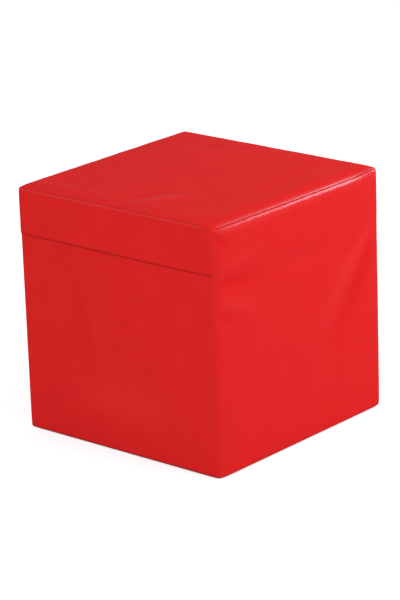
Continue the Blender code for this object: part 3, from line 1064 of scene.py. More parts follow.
class Socket:
    """A value in a shader. Arithmetic on it adds Math nodes."""

    def __init__(self, recipe: "Recipe", out: bpy.types.NodeSocket) -> None:
        """Wraps an output of a node of a recipe."""
        self.recipe = recipe
        self.out = out

    def math(self, operation: str, *others: Union["Socket", float]) -> "Socket":
        """A Math node on this value and others."""
        values = dict(enumerate((self, *others)))
        return self.recipe.node("ShaderNodeMath", {"operation": operation}, values)

    def __add__(self, other: Union["Socket", float]) -> "Socket":
        """Sum."""
        return self.math("ADD", other)

    def __sub__(self, other: Union["Socket", float]) -> "Socket":
        """Difference."""
        return self.math("SUBTRACT", other)

    def __mul__(self, other: Union["Socket", float]) -> "Socket":
        """Product."""
        return self.math("MULTIPLY", other)

    def __rsub__(self, other: float) -> "Socket":
        """Difference from a number."""
        return self.recipe.node("ShaderNodeMath", {"operation": "SUBTRACT"}, {0: other, 1: self})

    __radd__ = __add__
    __rmul__ = __mul__

    def sine(self) -> "Socket":
        """Sine of this value."""
        return self.math("SINE")

    def between(self, low: float, high: float) -> "Socket":
        """Smooth share from 0 at low to 1 at high."""
        values = {"Value": self, "From Min": low, "From Max": high}
        return self.recipe.node("ShaderNodeMapRange", {"interpolation_type": "SMOOTHSTEP"}, values)


Value = Union[Socket, float, Colour]


class Recipe:
    """The nodes of one finish, built round a Principled shader."""

    def __init__(self, name: str) -> None:
        """Starts a material with a bare shader.

        Args:
            name: The material's name.
        """
        self.material = bpy.data.materials.new(name)
        self.material.use_nodes = True
        self.tree = self.material.node_tree
        self.shader = self.tree.nodes["Principled BSDF"]

    def node(self, kind: str, settings: dict, values: dict, out: Optional[str] = None) -> Socket:
        """Adds a node.

        Args:
            kind: The node's type.
            settings: Its own settings, which are set first.
            values: Numbers, colours or sockets for its inputs, by name or place.
            out: Name of the output that is wanted, or None for the first in use.

        Returns:
            The output.
        """
        made = self.tree.nodes.new(kind)
        for key, value in settings.items():
            setattr(made, key, value)
        for key, value in values.items():
            self.feed(made, key, value)
        found = [socket for socket in made.outputs if socket.enabled and out in (None, socket.name)]
        return Socket(self, found[0])

    def feed(self, made: bpy.types.Node, key: Union[str, int], value: Value) -> None:
        """Links or sets one input of a node.

        Args:
            made: The node.
            key: Name or place of the input, among those in use.
            value: A socket, a number or a colour.
        """
        inputs = [socket for socket in made.inputs if socket.enabled]
        target = inputs[key] if isinstance(key, int) else next(s for s in inputs if s.name == key)
        if isinstance(value, Socket):
            self.tree.links.new(value.out, target)
        elif isinstance(value, tuple) and len(target.default_value) == 4:
            target.default_value = (*value, 1.0)
        else:
            target.default_value = value

    def cloth(self) -> Socket:
        """The flat map of the cloth, in metres."""
        return self.node("ShaderNodeUVMap", {"uv_map": CLOTH_MAP}, {})

    def place(self) -> Socket:
        """The place on the piece, in metres."""
        return self.node("ShaderNodeTexCoord", {}, {}, "Object")

    def noted(self, name: str) -> Socket:
        """A value noted on the vertices."""
        return self.node("ShaderNodeAttribute", {"attribute_name": name}, {}, "Fac")

    def noise(
        self, vector: Socket, size: float, detail: float = 2.0, roughness: float = 0.5
    ) -> Socket:
        """Soft noise with features of about a size, in metres."""
        values = {"Vector": vector, "Scale": 1 / size, "Detail": detail, "Roughness": roughness}
        return self.node("ShaderNodeTexNoise", {}, values)

    def cells(self, vector: Socket, size: float, feature: str = "F1") -> Socket:
        """Distance to the middle or the border of cells of about a size, in metres."""
        values = {"Vector": vector, "Scale": 1 / size}
        return self.node("ShaderNodeTexVoronoi", {"feature": feature}, values)

    def weave(self, vector: Socket, pitch: float) -> Socket:
        """A plain weave's rise and fall.

        Args:
            vector: Where on the cloth.
            pitch: Width of two threads, in metres.

        Returns:
            The height, from 0 to 1.
        """
        turns = math.tau / pitch
        warp = (self.node("ShaderNodeSeparateXYZ", {}, {"Vector": vector}, "X") * turns).sine()
        weft = (self.node("ShaderNodeSeparateXYZ", {}, {"Vector": vector}, "Y") * turns).sine()
        return warp * weft * 0.5 + 0.5

    def tint(self, share: Value, low: Value, high: Value) -> Socket:
        """A colour between two, by a share."""
        values = {"Factor": share, "A": low, "B": high}
        return self.node("ShaderNodeMix", {"data_type": "RGBA"}, values)

    def bump(self, height: Socket, depth: float, under: Optional[Socket] = None) -> Socket:
        """A normal that follows a height.

        Args:
            height: The height, from 0 to 1.
            depth: How deep that is, in metres.
            under: A normal that it is laid over, if any.

        Returns:
            The normal.
        """
        values: dict = {"Height": height, "Distance": depth}
        if under is not None:
            values["Normal"] = under
        return self.node("ShaderNodeBump", {}, values)

    def finish(self, colour: Value, roughness: Value, normal: Socket, specular: float) -> Material:
        """Sets what every cloth and foam has, and returns the material."""
        values = {"Base_Color": colour, "Roughness": roughness, "Normal": normal}
        return self.shade(**values, Specular_IOR_Level=specular)

    def shade(self, **values: Value) -> Material:
        """Sets the shader's inputs.

        Args:
            values: Their values by name, with underscores for spaces.

        Returns:
            The material.
        """
        for key, value in values.items():
            self.feed(self.shader, key.replace("_", " "), value)
        return self.material


@dataclass(frozen=True)
class CoatedFabric:
    """Red coated fabric: fine grain over a faint weave, smooth where rubbed, painted sheen and
    shade on folds, painted shade at seams.
    """

    name: str = "red_coated_fabric"
    clean: Colour = (0.758, 0.0213, 0.0203)
    deep: Colour = (0.732, 0.0183, 0.0183)
    # Paler red, for the rubbed lips and as a painted sheen on the crests of folds.
    worn: Colour = (0.785, 0.0330, 0.0300)
    # Painted shade in the hollows of folds.
    hollow: Colour = (0.715, 0.0140, 0.0145)
    # Colour of the painted shade in seam grooves, along the bottom and under the flap.
    dirt: Colour = (0.250, 0.0100, 0.0100)
    # Darker, greyer red: painted shade and sheen on fold flanks that face away from the light.
    dull: Colour = (0.440, 0.0750, 0.0700)
    patch: float = 70 * MM
    speck: float = 9 * MM
    grain: float = 1.1 * MM
    pebble: float = 1.76 * MM
    thread: float = 0.9 * MM
    noise_detail: float = 4.0
    noise_roughness: float = 0.6
    patch_between: Pair = (0.36, 0.64)
    patch_share: float = 0.6
    speck_share: float = 0.2
    raised_to: float = 1.6
    raised_share: float = 0.6
    hollow_to: float = 1.2
    hollow_share: float = 0.8
    rub_between: Pair = (0.3, 0.7)
    rub_share: float = 0.4
    flank_shade_share: float = 0.7
    flank_shade_speck: float = 0.6
    painted_shade_share: float = 0.75
    weave_height: float = 0.35
    grain_height: float = 0.4
    pebble_height: float = 0.6
    grain_depth: float = 0.04 * MM
    speck_depth: float = 0.10 * MM
    roughness: float = 0.48
    speck_roughness: float = 0.10
    rub_polish: float = 0.06
    specular: float = 0.003
    gloss: float = 0.015
    rub_gloss: float = 1.0
    shade_dulls_coat: float = 0.9
    coat_roughness: float = 0.18
    coat_ior: float = 1.5

    def material(self) -> Material:
        """Makes the finish.

        Returns:
            The material.
        """
        mix = Recipe(self.name)
        cloth = mix.cloth()
        notes = ("rubbed", "raised", "grime", "scuffed")
        rubbed, raised, grime, scuffed = (mix.noted(name) for name in notes)
        broad = mix.noise(cloth, self.patch, self.noise_detail, self.noise_roughness)
        fine = mix.noise(cloth, self.speck, self.noise_detail, self.noise_roughness)
        patchy = broad.between(*self.patch_between) * self.patch_share
        colour = mix.tint(patchy + fine * self.speck_share, self.clean, self.deep)
        # Painted sheen on the crests of folds, and painted shade in their hollows.
        pale = raised.between(0.0, self.raised_to) * self.raised_share
        colour = mix.tint(pale, colour, self.worn)
        shaded = (raised * -1).between(0.0, self.hollow_to) * self.hollow_share
        colour = mix.tint(shaded, colour, self.hollow)
        marks = rubbed * fine.between(*self.rub_between) * self.rub_share
        colour = mix.tint(marks, colour, self.worn)
        # Painted shade and sheen on the flanks of folds.
        dulled = scuffed * (fine * self.flank_shade_speck + self.flank_shade_share)
        colour = mix.tint(dulled, colour, self.dull)
        # Painted shade in seam grooves, along the bottom and under the flap.
        colour = mix.tint(grime * self.painted_shade_share, colour, self.dirt)
        grain = mix.noise(cloth, self.grain, roughness=self.noise_roughness)
        pebble = mix.cells(cloth, self.pebble, "SMOOTH_F1")
        weave = mix.weave(cloth, self.thread)
        height = weave * self.weave_height + grain * self.grain_height + pebble * self.pebble_height
        normal = mix.bump(height, self.grain_depth)
        normal = mix.bump(fine, self.speck_depth, normal)
        rough = self.roughness + fine * self.speck_roughness - rubbed * self.rub_polish
        # The coat is taken off where shade is painted.
        coat = rubbed * self.rub_gloss - grime * self.shade_dulls_coat + self.gloss
        coat = coat.math("MAXIMUM", 0.0)
        mix.shade(Coat_Weight=coat, Coat_Roughness=self.coat_roughness, Coat_IOR=self.coat_ior)
        return mix.finish(colour, rough, normal, self.specular)


@dataclass(frozen=True)
class FabricBacking:
    """The uncoated back of the cover's fabric: a dull red weave."""

    name: str = "fabric_backing"
    thread: Colour = (0.52, 0.05, 0.045)
    shadow: Colour = (0.28, 0.02, 0.02)
    pitch: float = 1.1 * MM
    patch: float = 40 * MM
    weave_share: float = 0.7
    patch_share: float = 0.3
    depth: float = 0.15 * MM
    roughness: float = 0.75
    patch_roughness: float = 0.15
    specular: float = 0.2

    def material(self) -> Material:
        """Makes the finish.

        Returns:
            The material.
        """
        mix = Recipe(self.name)
        cloth = mix.cloth()
        weave = mix.weave(cloth, self.pitch)
        patch = mix.noise(cloth, self.patch, 3.0)
        share = weave * self.weave_share + patch * self.patch_share
        colour = mix.tint(share, self.shadow, self.thread)
        normal = mix.bump(weave, self.depth)
        rough = self.roughness + patch * self.patch_roughness
        return mix.finish(colour, rough, normal, self.specular)


@dataclass(frozen=True)
class GripFabric:
    """Dark anti-slip fabric of the base, dotted with small raised grips."""

    name: str = "dark_grip_fabric"
    dark: Colour = (0.018, 0.018, 0.020)
    light: Colour = (0.036, 0.036, 0.040)
    pitch: float = 5 * MM
    thread: float = 1.2 * MM
    patch: float = 30 * MM
    dot_between: Pair = (0.2, 0.42)
    dot_share: float = 0.3
    dust_between: Pair = (0.35, 0.75)
    dust_share: float = 0.6
    thread_depth: float = 0.12 * MM
    dot_height: float = 0.6 * MM
    roughness: float = 0.82
    dot_polish: float = 0.15
    specular: float = 0.3

    def material(self) -> Material:
        """Makes the finish.

        Returns:
            The material.
        """
        mix = Recipe(self.name)
        cloth = mix.cloth()
        waves = (mix.weave(cloth, 2 * self.pitch) - 0.5).math("ABSOLUTE")
        dots = waves.between(*self.dot_between)
        weave = mix.weave(cloth, self.thread)
        dust_and_shadow = mix.noise(cloth, self.patch, 4.0).between(*self.dust_between)
        share = dust_and_shadow * self.dust_share + dots * self.dot_share
        colour = mix.tint(share, self.dark, self.light)
        normal = mix.bump(weave, self.thread_depth)
        normal = mix.bump(dots, self.dot_height, normal)
        rough = self.roughness - dots * self.dot_polish
        return mix.finish(colour, rough, normal, self.specular)


@dataclass(frozen=True)
class OpenFoam:
    """Cut foam: open cells of two sizes, and slight shade from slab to slab."""

    name: str
    wall: Colour
    # Colour of the pits in the cells: painted shade.
    pore: Colour
    cell: float
    small_share: float = 0.45
    patch: float = 60 * MM
    large_between: Pair = (0.05, 0.55)
    small_between: Pair = (0.05, 0.6)
    shares: tuple[float, float, float] = (0.6, 0.25, 0.15)
    large_depth: float = 0.5 * MM
    small_depth: float = 0.2 * MM
    roughness: float = 0.92
    patch_roughness: float = 0.06
    specular: float = 0.15

    def material(self) -> Material:
        """Makes the finish.

        Returns:
            The material.
        """
        mix = Recipe(self.name)
        place = mix.place()
        large = mix.cells(place, self.cell).between(*self.large_between)
        small = mix.cells(place, self.small_share * self.cell).between(*self.small_between)
        patch = mix.noise(place, self.patch, 3.0)
        of_large, of_small, of_patch = self.shares
        share = large * of_large + small * of_small + patch * of_patch
        # The cells' pits take the pore colour: painted shade in them.
        colour = mix.tint(share, self.pore, self.wall)
        normal = mix.bump(large, self.large_depth)
        normal = mix.bump(small, self.small_depth, normal)
        rough = self.roughness + patch * self.patch_roughness
        return mix.finish(colour, rough, normal, self.specular)


@dataclass(frozen=True)
class WovenTape:
    """Black zip tape, in a fine weave."""

    name: str = "zip_tape_weave"
    thread: Colour = (0.030, 0.030, 0.033)
    # Colour between the threads: painted shade.
    gap: Colour = (0.010, 0.010, 0.011)
    pitch: float = 0.8 * MM
    patch: float = 20 * MM
    weave_share: float = 0.8
    patch_share: float = 0.2
    depth: float = 0.12 * MM
    roughness: float = 0.78
    patch_roughness: float = 0.1
    specular: float = 0.3

    def material(self) -> Material:
        """Makes the finish.

        Returns:
            The material.
        """
        mix = Recipe(self.name)
        weave = mix.weave(mix.place(), self.pitch)
        patch = mix.noise(mix.place(), self.patch, 3.0)
        share = weave * self.weave_share + patch * self.patch_share
        # Painted shade between the threads.
        colour = mix.tint(share, self.gap, self.thread)
        normal = mix.bump(weave, self.depth)
        rough = self.roughness + patch * self.patch_roughness
        return mix.finish(colour, rough, normal, self.specular)


@dataclass(frozen=True)
class Moulded:
    """Smooth nylon or cast metal with a fine, uneven polish."""

    name: str
    colour: Colour
    worn: Colour
    roughness: float
    metallic: float = 0.0
    patch: float = 6 * MM
    patch_between: Pair = (0.4, 0.7)
    patch_roughness: float = 0.2
    scratch: float = 0.5 * MM
    depth: float = 0.01 * MM

    def material(self) -> Material:
        """Makes the finish.

        Returns:
            The material.
        """
        mix = Recipe(self.name)
        patch = mix.noise(mix.place(), self.patch, 4.0, 0.65)
        fine = mix.noise(mix.place(), self.scratch, 3.0)
        colour = mix.tint(patch.between(*self.patch_between), self.colour, self.worn)
        normal = mix.bump(fine, self.depth)
        rough = patch * self.patch_roughness + self.roughness
        return mix.shade(Base_Color=colour, Roughness=rough, Metallic=self.metallic, Normal=normal)


@dataclass(frozen=True)
class SewingThread:
    """Red polyester thread, with the twist of its strands."""

    name: str = "red_thread"
    light: Colour = (0.74, 0.022, 0.022)
    # Colour where the strands lie lower: painted shade.
    dark: Colour = (0.60, 0.014, 0.014)
    strand: float = 0.3 * MM
    depth: float = 0.05 * MM
    roughness: float = 0.5
    strand_roughness: float = 0.2

    def material(self) -> Material:
        """Makes the finish.

        Returns:
            The material.
        """
        mix = Recipe(self.name)
        strands = mix.noise(mix.place(), self.strand, 2.0)
        # Darker where the strands lie lower: painted shade between them.
        colour = mix.tint(strands, self.dark, self.light)
        rough = self.roughness + strands * self.strand_roughness
        return mix.shade(Base_Color=colour, Roughness=rough, Normal=mix.bump(strands, self.depth))


class Finishes:
    """Every finish of the block, made once and shared."""

    def __init__(self) -> None:
        """Makes the materials."""
        self.red = CoatedFabric().material()
        self.backing = FabricBacking().material()
        self.grip = GripFabric().material()
        firm = OpenFoam("firm_foam", (0.50, 0.51, 0.53), (0.20, 0.20, 0.22), 2.4 * MM)
        core = OpenFoam("core_foam", (0.80, 0.77, 0.64), (0.50, 0.44, 0.30), 2.0 * MM)
        dense = OpenFoam("dense_foam", (0.23, 0.30, 0.43), (0.07, 0.10, 0.17), 1.6 * MM)
        self.firm, self.core, self.dense = (foam.material() for foam in (firm, core, dense))
        self.tape = WovenTape().material()
        coil = Moulded("zip_coil_nylon", (0.014, 0.014, 0.015), (0.05, 0.05, 0.052), 0.32)
        metal = Moulded("zip_metal", (0.55, 0.55, 0.56), (0.36, 0.35, 0.34), 0.2, metallic=1.0)
        self.coil, self.metal = (cast.material() for cast in (coil, metal))
        self.thread = SewingThread().material()


@dataclass(frozen=True)
class StitchRow:
    """A row of lockstitches."""

    name: str
    body: str
    pitch: float = 4.2 * MM
    gap: float = 0.9 * MM
    thread: float = 0.4 * MM
    sunk: float = 0.12 * MM
    sides: int = 6
    rings: int = 5

    def holes(self, start: float, end: float) -> Array:
        """Where the needle goes through, along a row."""
        return start + np.arange(int((end - start) / self.pitch) + 1) * self.pitch

    def build(self, shop: Workshop, places: Array) -> None:
        """Makes the stitches as one piece of many short, round-ended lengths.

        Args:
            shop: The workshop.
            places: The needle's holes, one a row.
        """
        turns = []
        for first, last in zip(places[:-1], places[1:]):
            along = Vector(last - first)
            thin, long = self.thread / 2, (along.length - self.gap) / 2
            size = Matrix.Diagonal((thin, thin, long, 1))
            turn = along.to_track_quat("Z", "Y").to_matrix().to_4x4()
            turns.append(Matrix.Translation((first + last) / 2) @ turn @ size)
        bm = bmesh.new()
        bmesh.ops.create_uvsphere(bm, u_segments=self.sides, v_segments=self.rings, radius=1)
        thing = shop.copies(self.name, bm, turns, shop.finishes.thread)
        shop.smooth(thing.data, Crispness.NONE)
        shop.hand_over(thing, "cover_red", self.body)


@dataclass(frozen=True)
class Cover:
    """The sewn cover: the fixed sides and base, the lid with its flap, and the skin between."""

    sizes: BlockSizes
    shop: Workshop
    step: float = 5.5 * MM
    top_step: float = 4.2 * MM
    base_step: float = 11 * MM
    sag_depth: float = 1.3 * MM
    sag_peak: float = 0.7
    hang_reach: float = 45 * MM
    flap_lift: float = 2.0 * MM
    flap_lift_reach: float = 19 * MM
    flap_ends: float = 22 * MM
    hem_radius: float = 0.85 * MM
    hem_height: float = 26 * MM
    hem_turn: tuple[int, ...] = (30, 60, 90, 120, 150)
    # Painted shade on the underside of the hem's turn.
    hem_shade: float = 0.6
    hem_shade_from: float = 0.3
    hem_shade_to: float = 1.5
    hem_row: float = 22.5 * MM
    tape_row: float = 34 * MM
    side_row: float = -1.6 * MM
    side_row_end: float = 26 * MM
    row_ends: Pair = (6 * MM, 4 * MM)
    short_from: float = 24 * MM
    short_to: float = 14 * MM
    fold_reach: float = 9 * MM
    fold_rows: int = 13
    seam_clear: float = 0.01 * MM
    # The flap's shadow, painted on the side panel below its edge, and the fine rows that carry it.
    flap_shadow_from: float = 2.3 * MM
    flap_shadow_to: float = 3.3 * MM
    flap_shadow_step: float = 0.7 * MM

    def body_form(self) -> CoverForm:
        """The form of the fixed part, which lies one step behind the bands."""
        crowns = tuple((face, self.sizes.side_crown) for face in SIDE_FACES.values())
        return CoverForm(self.sizes, self.sizes.step, crowns, self.sizes.fold_z)

    def lid_form(self) -> CoverForm:
        """The form of the lid."""
        return CoverForm(self.sizes, 0.0, ((Face.TOP, self.sizes.top_crown),), self.sizes.height)

    def span(self, axis: int, inset: float) -> Pair:
        """Ends of a face along an axis, just short of its seams.

        Args:
            axis: The axis: 0 for X or 1 for Y.
            inset: How far the panels lie behind the bands.

        Returns:
            The low end and the high end.
        """
        half = self.sizes.half_length if axis == 0 else self.sizes.half_width
        high = half if axis == 0 else half - inset
        return -half + inset + self.seam_clear, high - self.seam_clear

    def sag(self, across: Array, low: float, high: float) -> Array:
        """How far the flap's free edge hangs down, at places between its two ends."""
        share = np.clip((across - low) / (high - low), 0, 1)
        return self.sag_depth * np.sin(math.pi * share ** (math.log(0.5) / math.log(self.sag_peak)))

    def flap(self, face: Face, across: Array, up: Array) -> tuple[Array, Array]:
        """How a band hangs and stands off the block.

        Args:
            face: The band's face.
            across: Places along it.
            up: Their heights on a taut band.

        Returns:
            Their heights as it hangs, and how far it stands off there.
        """
        low, high = self.span(face.across, 0.0)
        edge = self.sizes.fold_z
        hang = 1 - smoothstep(edge, edge + self.hang_reach, up)
        lift = self.flap_lift * np.exp(-np.abs(up - edge) / self.flap_lift_reach)
        ends = smoothstep(0, self.flap_ends, np.minimum(across - low, high - across))
        return up - self.sag(across, low, high) * hang, lift * ends

    def build(self) -> None:
        """Makes every panel and row of stitches."""
        self.build_top_and_base()
        for make in (self.build_side_panel, self.build_band):
            for side, face in SIDE_FACES.items():
                make(side, face)
        self.build_skin()
        for side, face in SIDE_FACES.items():
            self.build_stitches(side, face)

    def build_top_and_base(self) -> None:
        """Makes the top panel and the base panel."""
        across, up = (rows(*self.span(axis, 0.0), self.top_step) for axis in (0, 1))
        top = Panel(
            "cover_top", Face.TOP, self.lid_form(), across, up, ("top_panel",), "lid",
            rests_on="foam_top",
        )
        top.build(self.shop)
        across, up = (rows(*self.span(axis, self.sizes.step), self.base_step) for axis in (0, 1))
        base = Panel(
            "cover_base", Face.BASE, self.body_form(), across, up, ("base_panel",), "block",
            slot="base_grip", rests_on="foam_base",
        )
        base.build(self.shop)

    def build_side_panel(self, side: str, face: Face) -> None:
        """Makes a side panel, whose upper edge lies behind the flap, with the flap's shadow painted
        there.

        Args:
            side: The side's name.
            face: Its face.
        """
        low, high = self.span(face.across, self.sizes.step)
        across = rows(low, high, self.step)
        fold, top = self.sizes.fold_z, self.sizes.fold_z + self.sizes.flap_covers
        fine = np.arange(fold - self.sag_depth - 2 * self.flap_shadow_to, top, self.flap_shadow_step)
        main = rows(self.seam_clear, fine[0], self.step, high_seam=False)
        up = np.concatenate([main, fine[1:], [top]])
        heights = np.tile(up[:, None], len(across))
        if face.across == 0:
            short = smoothstep(high - self.short_from, high - self.short_to, across)
            heights[-1] -= short * (self.sizes.flap_covers + self.sizes.fit)
        above = heights - (fold - self.sag(across, low, high))
        nodes = (f"side_panel_{side}",)
        panel = Panel(f"cover_side_{side}", face, self.body_form(), across, up, nodes, "block")
        # The flap's shadow is painted just below its hanging edge.
        panel.build(self.shop, heights, dust_and_shadow=smoothstep(-self.flap_shadow_to, -self.flap_shadow_from, above))

    def build_band(self, side: str, face: Face) -> None:
        """Makes an upper band, whose lower edge hangs free as the hemmed flap over the zip.

        Args:
            side: The side's name.
            face: Its face.
        """
        low, high = self.span(face.across, 0.0)
        across = rows(low, high, self.step)
        edge, radius = self.sizes.fold_z, self.hem_radius
        main = rows(edge + radius, self.sizes.height - self.seam_clear, self.step, low_seam=False)
        turn = np.radians(self.hem_turn)
        hem = np.arange(edge + radius, edge + self.hem_height + self.step, self.step)
        up = np.concatenate([hem[::-1], edge + radius * (1 - np.sin(turn)), main])
        inwards = np.concatenate([np.ones(hem.size), (1 + np.cos(turn)) / 2, np.zeros(main.size)])
        heights, lift = self.flap(face, across, up[:, None])
        above = heights - (edge - self.sag(across, low, high))
        # Painted shade on the underside of the hem's turn.
        dust_and_shadow = 1 - smoothstep(self.hem_shade_from * radius, self.hem_shade_to * radius, above)
        panel = Panel(
            f"cover_band_{side}", face, self.lid_form(), across, up, (f"lid_band_{side}",), "lid",
            held="hung", rests_on="foam_top",
        )
        panel.build(self.shop, heights, 2 * radius * inwards[:, None] - lift, self.hem_shade * dust_and_shadow)

    def build_skin(self) -> None:
        """Makes the +X skin, which bends at the fold between the block and the lid."""
        half, clear = self.sizes.half_width, self.seam_clear
        across = rows(-half + clear, half - clear, self.step)
        low, high = self.sizes.fold_z - self.fold_reach, self.sizes.fold_z + self.fold_reach
        lower = rows(clear, low, self.step, high_seam=False)
        upper = rows(high, self.sizes.height - clear, self.step, low_seam=False)
        up = np.concatenate([lower, np.linspace(low, high, self.fold_rows)[1:-1], upper])
        crowns = ((Face.FRONT, self.sizes.side_crown - self.sizes.step),)
        form = SkinForm(self.sizes, self.sizes.step, crowns, self.sizes.fold_z)
        nodes = ("front_panel_lower", "front_panel_upper")
        thing = Panel("cover_skin", Face.FRONT, form, across, up, nodes, None).build(self.shop)
        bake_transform(thing)

    def build_stitches(self, side: str, face: Face) -> None:
        """Makes the row of stitches behind the flap, and those of its hem and of the tape.

        Args:
            side: The side's name.
            face: Its face.
        """
        low, high = self.span(face.across, 0.0)
        fold, (side_end, band_end) = self.sizes.fold_z, self.row_ends
        row = StitchRow(f"stitches_side_{side}", "block")
        holes = row.holes(low + side_end, min(high, self.sizes.half_length - self.side_row_end))
        level = np.full(holes.shape, fold + self.side_row)
        row.build(self.shop, self.body_form().settle(face, holes, level, row.sunk))
        for name, height in (("hem", self.hem_row), ("tape", self.tape_row)):
            row = StitchRow(f"stitches_{name}_{side}", "lid")
            holes = row.holes(low + band_end, high - band_end)
            level, lift = self.flap(face, holes, np.full(holes.shape, fold + height))
            row.build(self.shop, self.lid_form().settle(face, holes, level, row.sunk - lift))


@dataclass(frozen=True)
class Foam:
    """The three foam slabs, each remade from its solid with soft, slightly uneven cut faces."""

    sizes: BlockSizes
    shop: Workshop
    voxel: float = 8 * MM
    slack: float = 0.3 * MM
    lumps: float = 0.25 * MM
    lump_size: float = 12 * MM

    def build(self) -> None:
        """Makes the slabs."""
        form = CoverForm(self.sizes, 0.0, (), 0.0)
        finishes = self.shop.finishes
        for name, node, slot, finish in (
            ("foam_base", "foam_base_slab", "foam_firm", finishes.firm),
            ("foam_core", "foam_core_block", "foam_core", finishes.core),
            ("foam_top", "foam_top_slab", "foam_dense", finishes.dense),
        ):
            thing = self.shop.copied(name, node, finish)
            remesh = thing.modifiers.new("Even", "REMESH")
            remesh.mode = "VOXEL"
            remesh.voxel_size = self.voxel
            self.shop.apply(thing)
            self.roughen(thing.data, form)
            self.shop.smooth(thing.data, Crispness.CUT)
            self.shop.hand_over(thing, slot, "block")

    def roughen(self, mesh: Mesh, form: CoverForm) -> None:
        """Draws the surface in under the cover's edges and by small lumps, as a hot wire leaves it.

        Args:
            mesh: The slab's mesh.
            form: The form of the cover over it.
        """
        spots = read_places(mesh)
        normals = np.empty(len(mesh.vertices) * 3)
        mesh.vertices.foreach_get("normal", normals)
        lumps = np.array([noise.noise(Vector(spot) / self.lump_size) for spot in spots])
        moved = form.squeezed(spots, normals.reshape(-1, 3), self.slack + self.lumps * lumps)
        mesh.vertices.foreach_set("co", moved.ravel())
        mesh.update()


@dataclass(frozen=True)
class Zip:
    """The zip under the flap: tapes, coils, slider, puller and stops."""

    sizes: BlockSizes
    shop: Workshop
    corner_radius: float = 14 * MM
    short_of_fold: float = 17 * MM
    coil_depth: float = 4.35 * MM
    coil_thickness: float = 1.8 * MM
    coil_gap: float = 1.8 * MM
    coil_height: float = 2.5 * MM
    pitch: float = 1.7 * MM
    tooth: float = 1.0 * MM
    tooth_proud: float = 0.14 * MM
    slant: float = 9.0
    rounding: float = 0.3 * MM
    bevel: float = 0.18 * MM
    bevel_angle: float = 35.0
    weld: float = 0.01 * MM

    def build(self) -> None:
        """Dresses the tapes, adds the coils' turns and refines the metal pieces."""
        for side, body, way in (("upper", "lid", 1), ("lower", "block", -1)):
            tape = frame["nodes"][f"zip_tape_{side}"].data
            tape.materials.clear()
            tape.materials.append(self.shop.finishes.tape)
            self.build_coil(side, body, way)
        for name in ("slider", "puller", "stop_closed", "stop_open"):
            thing = self.shop.copied(f"zip_{name}_cast", f"zip_{name}", self.shop.finishes.metal)
            thing.modifiers.new("Weld", "WELD").merge_threshold = self.weld
            soft = thing.modifiers.new("Soft", "BEVEL")
            soft.width = self.bevel
            soft.segments = 2
            soft.limit_method = "ANGLE"
            soft.angle_limit = math.radians(self.bevel_angle)
            self.shop.apply(thing)
            self.shop.smooth(thing.data, Crispness.CAST)
            self.shop.hand_over(thing, "zip_metal", "block" if "stop" in name else "slider")

    def route(self) -> list[tuple[float, float, float]]:
        """Evenly spaced places of the coil's turns round three sides, with the heading at each.

        Returns:
            The two coordinates of each place in plan, and its heading in radians.
        """
        depth = self.coil_depth + self.coil_thickness / 2
        radius = self.corner_radius - depth
        x = self.sizes.half_length - self.short_of_fold
        y = depth - self.sizes.half_width
        straight = x + self.sizes.half_length - self.corner_radius
        across, arc = 2 * (self.sizes.half_width - self.corner_radius), math.pi / 2 * radius
        heading, run, stops = math.pi, self.pitch / 2, []
        for length, bend in ((straight, 0), (arc, 1), (across, 0), (arc, 1), (straight, 0)):
            runs = np.append(np.arange(run, length, self.pitch), length)
            turned = bend * runs / radius
            ahead = radius * np.sin(turned) if bend else runs
            aside = radius * (1 - np.cos(turned))
            xs = x + ahead * math.cos(heading) + aside * math.sin(heading)
            ys = y + ahead * math.sin(heading) - aside * math.cos(heading)
            stops += zip(xs[:-1], ys[:-1], heading - turned[:-1])
            x, y, heading = xs[-1], ys[-1], heading - turned[-1]
            run += self.pitch * (len(runs) - 1) - length
        return stops

    def build_coil(self, side: str, body: str, way: int) -> None:
        """Makes the turns of one coil, as round-edged teeth a pitch apart.

        Args:
            side: Which tape it is on.
            body: What it moves with.
            way: 1 above the centre line, -1 below it.
        """
        bm = bmesh.new()
        bmesh.ops.create_cube(bm, size=1)
        thick = self.coil_thickness + 2 * self.tooth_proud
        bmesh.ops.scale(bm, vec=(self.tooth, thick, self.coil_height), verts=bm.verts)
        bmesh.ops.bevel(bm, geom=bm.edges[:], offset=self.rounding, segments=1, affect="EDGES")
        away = (self.coil_gap + self.coil_height) / 2 + self.tooth_proud
        height = self.sizes.zip_z + way * away
        lean = Matrix.Rotation(math.radians(self.slant) * way, 4, "Y")
        turns = [
            Matrix.Translation((x, y, height)) @ Matrix.Rotation(heading, 4, "Z") @ lean
            for x, y, heading in self.route()
        ]
        thing = self.shop.copies(f"zip_coil_{side}", bm, turns, self.shop.finishes.coil)
        self.shop.smooth(thing.data, Crispness.SHEET)
        self.shop.hand_over(thing, "zip_tape", body)


